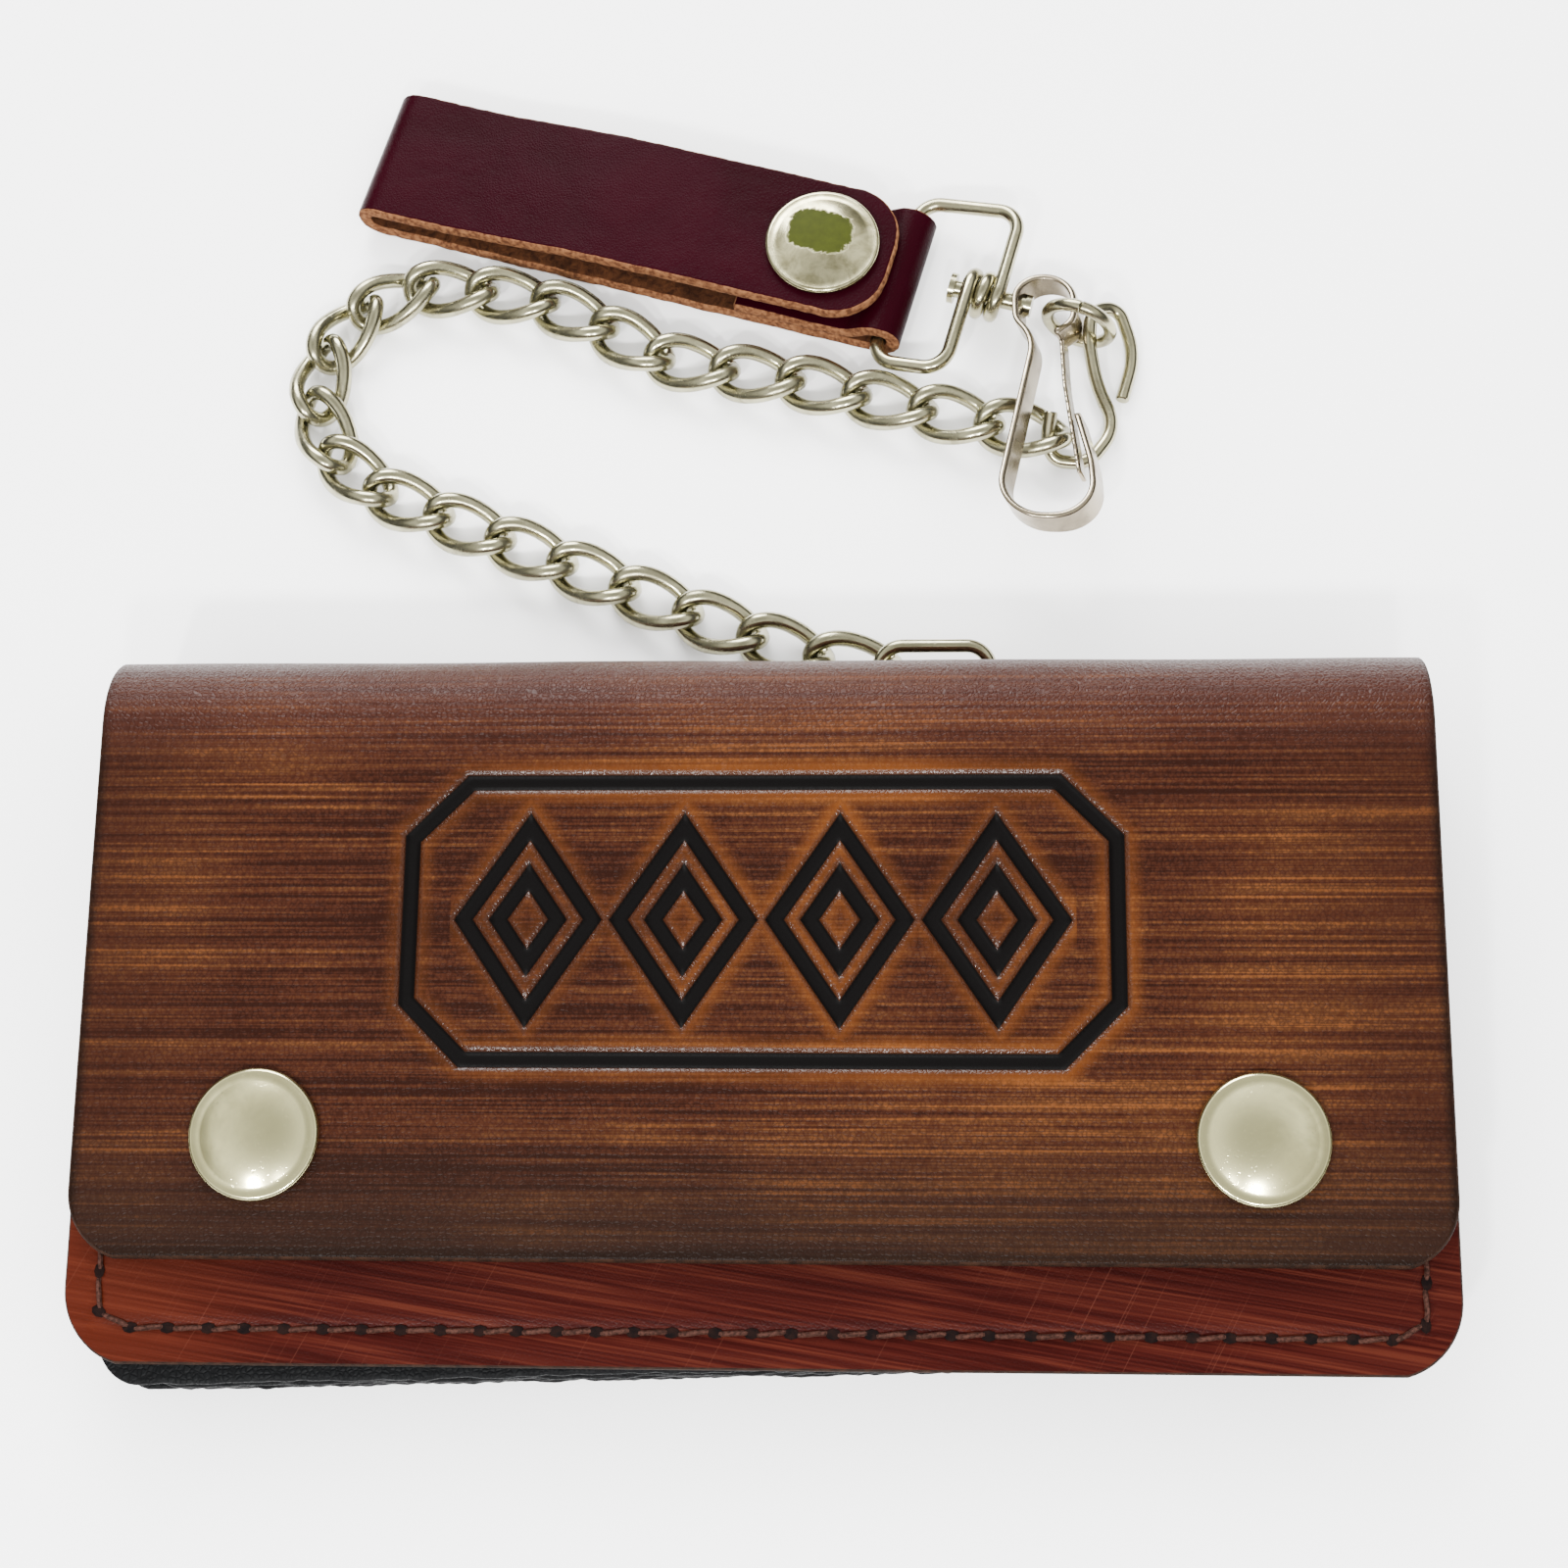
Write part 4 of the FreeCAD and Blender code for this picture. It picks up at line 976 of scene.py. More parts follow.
def basis(origin: Vector, u_dir: Vector, v_dir: Vector) -> Matrix:
    """Frame with the given origin and first two directions."""
    w_dir = u_dir.cross(v_dir)
    return Matrix((*(tuple(row) for row in zip(u_dir, v_dir, w_dir, origin)), (0, 0, 0, 1)))


def heading(degrees: float) -> Vector:
    """Level unit vector at an angle from +X."""
    return Vector((math.cos(math.radians(degrees)), math.sin(math.radians(degrees)), 0))


def finish_piece(piece: bpy.types.Object, slot: Slot, body: str, *nodes: str) -> None:
    """Ride a piece on its body, in place of its nodes, and report it."""
    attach(piece, body)
    report(piece, slot, *nodes)


def blend_piece(piece: bpy.types.Object, slot: Slot, bodies: tuple[str, str],
                reach: tuple[Sequence[float], Sequence[float]], *nodes: str) -> None:
    """Bake a piece's placement into its mesh, in place of its nodes, and report it; reach in mm is
    not used.
    """
    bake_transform(piece)
    report(piece, slot, *nodes)


def report(piece: bpy.types.Object, slot: Slot, *nodes: str) -> None:
    """Hide the frame's nodes that the piece stands for, and write one line naming them to the log.
    """
    if nodes:
        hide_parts(*nodes)
    faces = len(piece.data.polygons)
    LOG.info("%s: %d faces, for %s", piece.name, faces, ", ".join(nodes) or "no node")


class Row:
    """Geometry nodes that set a copy of a part on every point, turned by the point's own angles."""

    def __init__(self) -> None:
        """Build the tree."""
        self.tree = bpy.data.node_groups.new("Row of parts", "GeometryNodeTree")
        face = self.tree.interface
        for name, kind in (("Points", "Geometry"), ("Part", "Object"), ("Size", "Float"),
                           ("Finish", "Material")):
            face.new_socket(name, in_out="INPUT", socket_type="NodeSocket" + kind)
        face.new_socket("Row", in_out="OUTPUT", socket_type="NodeSocketGeometry")
        self.sockets = {item.name: item.identifier
                        for item in face.items_tree if item.in_out == "INPUT"}
        g = Graph(self.tree)
        entry = g.node("NodeGroupInput").outputs
        part = g.node("GeometryNodeObjectInfo", {"Object": entry["Part"]},
                      transform_space="ORIGINAL")
        turn = g.node("GeometryNodeInputNamedAttribute", {"Name": "turn"}, data_type="FLOAT_VECTOR")
        angles = g.node("FunctionNodeEulerToRotation", {0: turn.outputs[0]})
        row = g.node("GeometryNodeInstanceOnPoints", {
            "Points": entry["Points"], "Instance": part.outputs["Geometry"],
            "Rotation": angles.outputs[0], "Scale": entry["Size"]})
        real = g.node("GeometryNodeRealizeInstances", {0: row.outputs[0]})
        dressed = g.node("GeometryNodeSetMaterial", {"Geometry": real.outputs[0],
                                                     "Material": entry["Finish"]})
        g.node("NodeGroupOutput", {0: dressed.outputs[0]})

    def lay(self, name: str, part: bpy.types.Object, places: np.ndarray, turns: np.ndarray,
            material: bpy.types.Material) -> bpy.types.Object:
        """Lay a row of copies and turn it into a plain mesh.

        Args:
            name: name of the piece.
            part: the part that is repeated, modelled at the origin.
            places: spots of the copies in millimetres.
            turns: angles of the copies in radians.
            material: finish of the row.

        Returns:
            The piece.
        """
        points = bpy.data.meshes.new(name + "_points")
        points.from_pydata((places * MM).tolist(), [], [])
        turn = points.attributes.new("turn", "FLOAT_VECTOR", "POINT")
        turn.data.foreach_set("vector", np.asarray(turns, np.float32).ravel())
        carrier = set_out(name + "_carrier", points)
        modifier = carrier.modifiers.new("row", "NODES")
        modifier.node_group = self.tree
        for socket, value in (("Part", part), ("Size", 1.0), ("Finish", material)):
            modifier[self.sockets[socket]] = value
        bpy.context.view_layer.update()
        graph = bpy.context.evaluated_depsgraph_get()
        data = bpy.data.meshes.new_from_object(carrier.evaluated_get(graph),
                                               preserve_all_data_layers=False, depsgraph=graph)
        data.name = name
        bpy.data.objects.remove(carrier)
        return set_out(name, data)


# ------------------------------------------------------------------ wallet
@dataclass
class Cover:
    """Back, spine and flap of one strip, with the tooled grooves of the flap. Millimetres."""

    finishes: Finishes
    sizes: CoverSizes = COVER
    seam_y: float = 31.0
    lap: float = 0.4
    rim: float = 0.35
    wave: float = 0.11
    wave_length: float = 60.0
    bend: tuple[Point, Point] = ((0, 44.0, 13.0), (0, 35.0, 23.5))
    tool_margin: float = 2.0
    tool_side: float = 2.5
    tool_run: float = 12.0

    def track(self) -> Track:
        """Outer face in (Y, Z), from the back's edge over the spine to the flap's edge."""
        s = self.sizes
        points = [(s.back_edge, 0), (s.spine, 0), (s.spine, s.top(s.spine)),
                  (s.flap_edge, s.flap_edge_top)]
        return Track(points, [0, s.lower_bend, s.upper_bend, 0], 5.0)

    def strip(self, distance: np.ndarray, from_edge: np.ndarray,
              columns: np.ndarray) -> tuple[np.ndarray, np.ndarray]:
        """Outer and inner grids of the strip.

        Args:
            distance: marks along the track, one for each row.
            from_edge: distance of each row from the free edge, whose corners are rounded.
            columns: shares of the half width, -1 to 1.

        Returns:
            Outer and inner spots.
        """
        half = self.sizes.width / 2 - corner_loss(self.sizes.corner, from_edge) - self.rim
        x = half[:, None] * columns[None, :]
        outer, inner = (self.track().sweep(distance, offset, x, (2, 0, 1))
                        for offset in (0.0, self.sizes.leather))
        return outer, inner

    def tool(self, outer: np.ndarray, inner: np.ndarray) -> np.ndarray:
        """Outer grid with the tooled grooves pressed in."""
        lift = TOOLING.lift(TOOLING.distance(outer[..., 0], outer[..., 1]))
        on_flap = outer[..., 2] > self.sizes.flap_edge_top - 2
        return outer + (outer - inner) / self.sizes.leather * np.where(on_flap, lift, 0)[..., None]

    def relax(self, outer: np.ndarray, inner: np.ndarray) -> tuple[np.ndarray, np.ndarray]:
        """Give the flap the slight unevenness of used leather."""
        lift = waves(outer[..., 0], outer[..., 1] + outer[..., 2], 5, self.wave_length) * self.wave
        shift = unit(outer - inner) * lift[..., None]
        return outer + shift, inner + shift

    def build(self) -> None:
        """Build the back panel and the flap with its spine."""
        s, tooling = self.sizes, TOOLING
        length = self.track().length
        seam = self.seam_y - s.back_edge
        rows = np.append(0, graded((0.05, 2.0, s.corner, seam), (0.35, 0.8, 4.0)))
        across = width_shares(0.93, 0.012, 0.05)
        shell, kinds = slab(*self.strip(rows, np.maximum(rows, self.rim), across), self.rim)
        mats = [self.finishes.dyed, self.finishes.edge, self.finishes.edge]
        piece = mesh_piece("back_leather", shell, mats, kinds)
        finish_piece(piece, Slot.DARK, "wallet", "back_panel")

        reach = tooling.half_height + self.tool_margin
        low, high = (length - (tooling.centre_y + side * reach - s.flap_edge) for side in (-1, 1))
        marks = (seam - self.lap, high - self.tool_run, high, low,
                 length - s.corner, length - 2, length - self.rim)
        rows = graded(marks, (1.3, 1.5, 0.42, 1.8, 0.8, 0.3))
        zone = (tooling.half_length + self.tool_side) / (s.width / 2)
        middle = tooling.centre_x / (s.width / 2)
        across = graded((-1, -0.97, middle - zone, middle + zone, 0.97, 1),
                        (0.01, 0.022, 0.0051, 0.022, 0.01))
        outer, inner = self.strip(rows, np.maximum(length - rows, self.rim), across)
        shell, kinds = slab(*self.relax(self.tool(outer, inner), inner), self.rim)
        piece = mesh_piece("flap_leather", shell, mats, kinds, 65.0)
        blend_piece(piece, Slot.BROWN, ("wallet", "flap"), self.bend, "spine", "flap")


@dataclass
class FrontPanel:
    """Red front panel with its stitched border. Millimetres."""

    finishes: Finishes
    row: Row
    sizes: CoverSizes = COVER
    rim: float = 0.35
    sag: float = 0.12
    sag_length: float = 55.0
    inset: float = 4.3
    border_top: float = 34.0
    border_corner: float = 3.0
    groove: float = 0.22
    groove_width: float = 0.8
    pitch: float = 4.7
    place_error: float = 0.25
    turn_error: float = 0.05
    thread: float = 0.32
    thread_depth: float = 0.10
    bow: float = 0.10
    rise: float = 0.22
    dip: float = 0.5
    short: float = 0.45
    # dark ovals of painted shade at the stitch holes: depth, profile and oval scale
    hole_shade_depth: float = 0.12
    hole_shade: Sequence[Flat] = ((0, -0.1), (0.85, -0.1), (0.98, 0.10), (0.75, 0.20), (0, 0.22))
    hole_shade_oval: Point = (1.0, 0.68, 1.0)

    @property
    def side(self) -> float:
        """Distance of the side stitches from the panel's middle."""
        return self.sizes.front_width / 2 - self.inset

    def build(self) -> None:
        """Build the panel, its thread and the dark ovals of painted shade at its holes."""
        s = self.sizes
        rows = graded((self.rim, 2.0, s.front_corner, s.front_length), (0.3, 0.7, 3.0))
        across = width_shares(0.93, 0.01, 0.03)
        half = s.front_width / 2 - corner_loss(s.front_corner, rows) - self.rim
        x = half[:, None] * across[None, :]
        y = np.repeat(rows[:, None], len(across), 1)
        sag = waves(x, y, 11, self.sag_length) * self.sag
        groove = self.groove * np.exp(-(self.border_distance(x, y) / self.groove_width) ** 2)
        top = s.front_leather + np.minimum(0, sag) - groove
        shell, kinds = slab(*sheet(x, y, top), self.rim)
        mats = [self.finishes.red, self.finishes.edge, self.finishes.edge]
        piece = mesh_piece("front_leather", shifted(shell, s.lid()), mats, kinds)
        finish_piece(piece, Slot.RED, "wallet", "front_panel")
        self.stitch()

    def border_distance(self, x: np.ndarray, y: np.ndarray) -> np.ndarray:
        """Distance to the stitched line."""
        nearest = np.maximum(np.abs(x) - self.side, self.inset - y)
        return np.abs(np.where(y < self.border_top, nearest, FAR))

    def stitch(self) -> None:
        """Lay threads and painted hole shade: down the left, along the edge, up the right."""
        points = [(-self.side, self.border_top), (-self.side, self.inset),
                  (self.side, self.inset), (self.side, self.border_top)]
        track = Track(points, [0, self.border_corner, self.border_corner, 0], 15.0)
        count = round(track.length / self.pitch)
        source = np.random.default_rng(3)
        marks = np.linspace(0, track.length, count + 1)
        marks[1:-1] += source.uniform(-self.place_error, self.place_error, count - 1)
        spots = track.at(marks)
        runs = spots[1:] - spots[:-1]
        errors = source.uniform(-self.turn_error, self.turn_error, count)
        angles = np.arctan2(runs[:, 1], runs[:, 0]) + errors
        middles = (spots[1:] + spots[:-1]) / 2
        self.lay("border_thread", self.thread_part(), middles, angles, self.thread_depth,
                 self.finishes.thread)
        self.lay("border_holes", self.hole_part(), spots, np.append(angles, angles[-1]),
                 self.hole_shade_depth, self.finishes.hole_shade)

    def lay(self, name: str, part: bpy.types.Object, spots: np.ndarray, angles: np.ndarray,
            depth: float, material: bpy.types.Material) -> None:
        """Lay copies of a part on the panel's face.

        Args:
            name: name of the piece.
            part: the part, which is removed afterwards.
            spots: flat spots in the panel's plane.
            angles: heading of each copy.
            depth: how far the copies are sunk.
            material: finish of the copies.
        """
        count = len(spots)
        level = np.full(count, self.sizes.front_leather - depth)
        places = moved(np.column_stack([spots, level]), self.sizes.lid())
        turns = np.column_stack([np.full(count, self.sizes.slope), np.zeros(count), angles])
        piece = self.row.lay(name, part, places, turns, material)
        bpy.data.objects.remove(part)
        finish_piece(piece, Slot.RED, "wallet")

    def thread_part(self) -> bpy.types.Object:
        """One stitch along X, bowed a little, its ends sunk."""
        t = np.linspace(-1, 1, 9)
        reach = self.pitch / 2 - self.short
        sunk = self.rise - self.dip * np.abs(t) ** 4
        route = np.stack([t * reach, self.bow * np.sin(t * 2.2), sunk], axis=1)
        return mesh_piece("stitch_part", tube(route, self.thread, 6, 0.35), [self.finishes.thread])

    def hole_part(self) -> bpy.types.Object:
        """Dark oval at a stitch's end: painted shade of the stitch hole."""
        spots, faces = lathe(self.hole_shade, 8)
        oval = spots * np.array(self.hole_shade_oval)
        return mesh_piece("hole_part", (oval, faces), [self.finishes.hole_shade])


@dataclass
class Inside:
    """Black linings and pockets, cut by hand, so their lower edges are ragged. Millimetres."""

    finishes: Finishes
    sizes: CoverSizes = COVER
    width: float = 158.0
    pocket_width: float = 150.0
    low_left: float = -47.0
    low_right: float = -42.0
    corner: float = 6.0
    rim: float = 0.35
    bulge: float = 0.5
    lining: float = 1.0
    card: float = 0.8
    coin: float = 1.0
    lining_top: float = 24.0
    card_tops: Flat = (6.0, -8.0)
    coin_top: float = 28.0
    coin_mouth: float = 3.8
    ragged: Sequence[Flat] = ((0.16, 9.0), (0.12, 2.6))
    rough: float = 0.03
    rough_length: float = 12.0

    def layer(self, names: tuple[str, str], width: float, low: Flat, top: float, thick: float,
              seed: int, place: Matrix) -> None:
        """Build one layer.

        Args:
            names: name of the piece, and the frame's node that it stands for.
            width: width of the sheet.
            low: height of the lower edge at its left and right.
            top: height of the upper edge.
            thick: thickness.
            seed: seed of the raggedness.
            place: frame of the sheet's underside.
        """
        half = width / 2
        t = graded((0, 0.06, 1), (0.006, 0.05))
        s = width_shares(0.93, 0.01, 0.008)
        x = half * s
        lost = corner_loss(self.corner, half - np.abs(x)) + self.rim
        slant = (low[1] - low[0]) * (s + 1) / 2
        edge = low[0] + slant + lost + ragged_edge(x, seed, self.ragged)
        y = edge[None, :] + (top - edge)[None, :] * t[:, None]
        x = np.repeat(x[None, :], len(t), 0)
        rough = waves(x, y, seed + 2, self.rough_length) * self.rough
        shell, _ = slab(*sheet(x, y, thick + rough), self.bulge)
        piece = mesh_piece(names[0], shifted(shell, place), [self.finishes.black])
        finish_piece(piece, Slot.BLACK, "wallet", names[1])

    def build(self) -> None:
        """Build every layer from the back up."""
        low, level = (self.low_left, self.low_right), self.sizes.leather
        wide, narrow = self.width, self.pocket_width
        flat = (("lining_back", "back_lining", wide, self.lining_top, self.lining, 21),
                ("card_pocket_inner_leather", "card_pocket_inner", narrow, self.card_tops[0],
                 self.card, 31),
                ("card_pocket_outer_leather", "card_pocket_outer", narrow, self.card_tops[1],
                 self.card, 36),
                ("coin_pocket_back_leather", "coin_pocket_back", narrow, self.coin_top,
                 self.coin, 51))
        for name, node, width, top, thick, seed in flat:
            place = Matrix.Translation((0, 0, level))
            self.layer((name, node), width, low, top, thick, seed, place)
            level += thick
        rise = self.coin_top - self.low_left
        lean = math.atan2(self.coin_mouth, rise)
        place = Matrix.Translation((0, self.low_left, level)) @ Matrix.Rotation(lean, 4, "X")
        slant = (0.0, self.low_right - self.low_left)
        self.layer(("coin_pocket_front_leather", "coin_pocket_front"), narrow, slant,
                   rise / math.cos(lean), self.coin, 61, place)
        edge = self.sizes.front_edge
        place = self.sizes.lid() @ Matrix.Translation((0, 0, -self.lining))
        self.layer(("lining_front", "front_lining"), wide, (low[0] - edge, low[1] - edge),
                   self.sizes.front_length, self.lining, 71, place)


@dataclass
class Snaps:
    """Domed caps of the snap fasteners. Millimetres."""

    finishes: Finishes
    sizes: CoverSizes = COVER
    radius: float = 7.95
    height: float = 2.3
    rim: float = 0.55
    barrel: float = 1.7
    barrel_stop: float = 1.45
    step_in: float = 0.35
    step_down: float = 0.10
    dome_in: float = 0.55
    dome_down: float = 0.06
    dome_power: float = 2.3

    def cap(self, depth: float) -> Shell:
        """Cap whose seat is at Z = 0 and whose barrel reaches down by a depth."""
        rim, crown, shoulder = self.rim, self.radius - self.rim, 2 * self.rim
        profile = [(0, -depth), (self.barrel, -depth), (self.barrel, 0), (crown, 0)]
        for angle in (math.radians(-90 + 180 * step / 8) for step in range(9)):
            profile.append((crown + rim * math.cos(angle), rim + rim * math.sin(angle)))
        profile.append((crown - self.step_in, shoulder - self.step_down))
        inner, base = crown - self.dome_in, shoulder - self.dome_down
        for share in (1 - step / 12 for step in range(1, 12)):
            rise = (self.height - base) * (1 - share ** self.dome_power)
            profile.append((inner * share, base + rise))
        return lathe(profile + [(0, self.height)])

    def build(self) -> None:
        """Build the two caps of the flap."""
        s = self.sizes
        spots, faces = self.cap(s.leather - self.barrel_stop)
        both, all_faces = [], []
        for index, side in enumerate((-1, 1)):
            spot = (side * s.snap_x, s.snap_y, s.front_leather + s.gap + s.leather)
            both.append(moved(spots, s.lid() @ Matrix.Translation(spot)))
            all_faces += [[corner + index * len(spots) for corner in face] for face in faces]
        piece = mesh_piece("flap_caps", (np.vstack(both), all_faces), [self.finishes.cap])
        finish_piece(piece, Slot.SNAP, "flap", "flap_snap_caps")


@dataclass
class Zipper:
    """Teeth of the coin pocket's zipper. Millimetres."""

    finishes: Finishes
    row: Row
    length: float = 140.0
    pitch: float = 2.4
    tooth: Point = (1.3, 1.2, 0.9)
    overlap: float = 0.4
    top: float = Inside.coin_top
    floor: float = 6.0
    mouth: float = Inside.coin_mouth
    seat: float = 0.05

    def build(self) -> None:
        """Lay both rows of teeth."""
        middle = self.floor + (self.mouth - self.seat) / 2
        long, deep, tall = self.tooth
        offset = self.overlap / 2 - tall / 2
        places = []
        for index in range(int(self.length / self.pitch)):
            x = -self.length / 2 + self.pitch * (index + 0.25) + long / 2
            places += [(x, self.top + deep / 2, middle + offset),
                       (x + self.pitch / 2, self.top + deep / 2, middle - offset)]
        work = bmesh.new()
        bmesh.ops.create_cube(work, size=1.0)
        bmesh.ops.scale(work, vec=Vector(self.tooth) * MM, verts=work.verts)
        data = bpy.data.meshes.new("tooth_part")
        work.to_mesh(data)
        work.free()
        part = set_out("tooth_part", data)
        piece = self.row.lay("zipper_teeth_rows", part, np.array(places),
                             np.zeros((len(places), 3)), self.finishes.brass)
        bpy.data.objects.remove(part)
        finish_piece(piece, Slot.ZIP, "wallet", "zipper_teeth")


# ------------------------------------------------------------------ chain, clip and strap
@dataclass
class Chain:
    """D-ring and curb links, laid from the wallet to the S-hook. Millimetres."""

    finishes: Finishes
    row: Row
    tab_x: float = 21.8
    bar_y: float = 43.5
    bar_z: float = 2.45
    ring_wire: float = 1.8
    ring_width: float = 14.8
    ring_height: float = 6.6
    ring_tilt: float = math.radians(28.0)
    ring_corner: float = 1.4
    ring_arc: float = 3.2
    ring_gap: float = 0.05
    grip: float = 4.0
    wire: float = 2.15
    pitch: float = 9.4
    slack: float = 8.4
    half_width: float = 3.2
    play: float = 0.3
    twist: float = math.radians(50.0)
    squareness: float = 2.45
    cut_at: float = 25.0
    cut: float = 4.5
    level: float = 2.62
    tail: Sequence[float] = (168, 160, 159, 157, 157, 157, 157, 157)
    bend: Sequence[float] = (140, 112, 83, 53, 24, -5)
    lead: Sequence[float] = (-11, -26, -32, -12, -10, -15, -14, -14, -12)

    def ring_spot(self, across: float, up: float) -> np.ndarray:
        """Spot of the tilted D-ring."""
        return np.array([self.tab_x + across, self.bar_y + up * math.cos(self.ring_tilt),
                         self.bar_z + up * math.sin(self.ring_tilt)])

    def joints(self) -> np.ndarray:
        """Joints between the links, from the D-ring to the S-hook."""
        spot = (Vector(self.ring_spot(-self.ring_width / 2, self.grip))
                - heading(self.tail[0]) * (self.wire + self.play) / 2)
        spots = [tuple(spot)]
        for pitch, turns in ((self.pitch, self.tail), (self.slack, self.bend),
                             (self.pitch, self.lead)):
            for turn in turns:
                spot = spot + heading(turn) * pitch
                spots.append((spot.x, spot.y, self.level))
        return np.array(spots)

    def link_part(self) -> bpy.types.Object:
        """One link: a squared oval of round wire, twisted along its length, with a butt cut."""
        half_length = (self.pitch + self.wire + self.play) / 2
        angles = np.radians(self.cut_at + self.cut / 2 + (360 - self.cut) * np.linspace(0, 1, 49))
        reaches = ((half_length, np.cos(angles)), (self.half_width, np.sin(angles)))
        x, y = (reach * np.sign(wave) * np.abs(wave) ** (2 / self.squareness)
                for reach, wave in reaches)
        twist = -self.twist * x / half_length
        route = np.stack([x, y * np.cos(twist), y * np.sin(twist)], axis=1)
        return mesh_piece("link_part", tube(route, self.wire / 2, 12), [self.finishes.chain])

    def build(self) -> None:
        """Build the ring and the three runs of links."""
        half, height = self.ring_width / 2, self.ring_height
        flat = ((-self.ring_gap, 0), (-half, 0), (-half, height), (half, height), (half, 0),
                (self.ring_gap, 0))
        radii = [0, self.ring_corner, self.ring_arc, self.ring_arc, self.ring_corner, 0]
        route = soften([self.ring_spot(*spot) for spot in flat], radii)
        wire = tube(route, self.ring_wire / 2, 14, 0.35)
        ring = mesh_piece("d_ring_wire", wire, [self.finishes.wire])
        finish_piece(ring, Slot.CHAIN, "d_ring", "d_ring")

        joints = self.joints()
        middles, runs = (joints[1:] + joints[:-1]) / 2, joints[1:] - joints[:-1]
        lean = -np.arctan2(runs[:, 2], np.hypot(runs[:, 0], runs[:, 1]))
        turns = np.column_stack([np.zeros(len(runs)), lean, np.arctan2(runs[:, 1], runs[:, 0])])
        part = self.link_part()
        first = 0
        for body, headings in (("chain_tail", self.tail), ("chain_bend", self.bend),
                               ("chain_lead", self.lead)):
            last = first + len(headings)
            piece = self.row.lay(body + "_links", part, middles[first:last], turns[first:last],
                                 self.finishes.chain)
            nodes = [f"chain_link_{index + 1:02d}" for index in range(first, last)]
            finish_piece(piece, Slot.CHAIN, body, *nodes)
            first = last
        bpy.data.objects.remove(part)


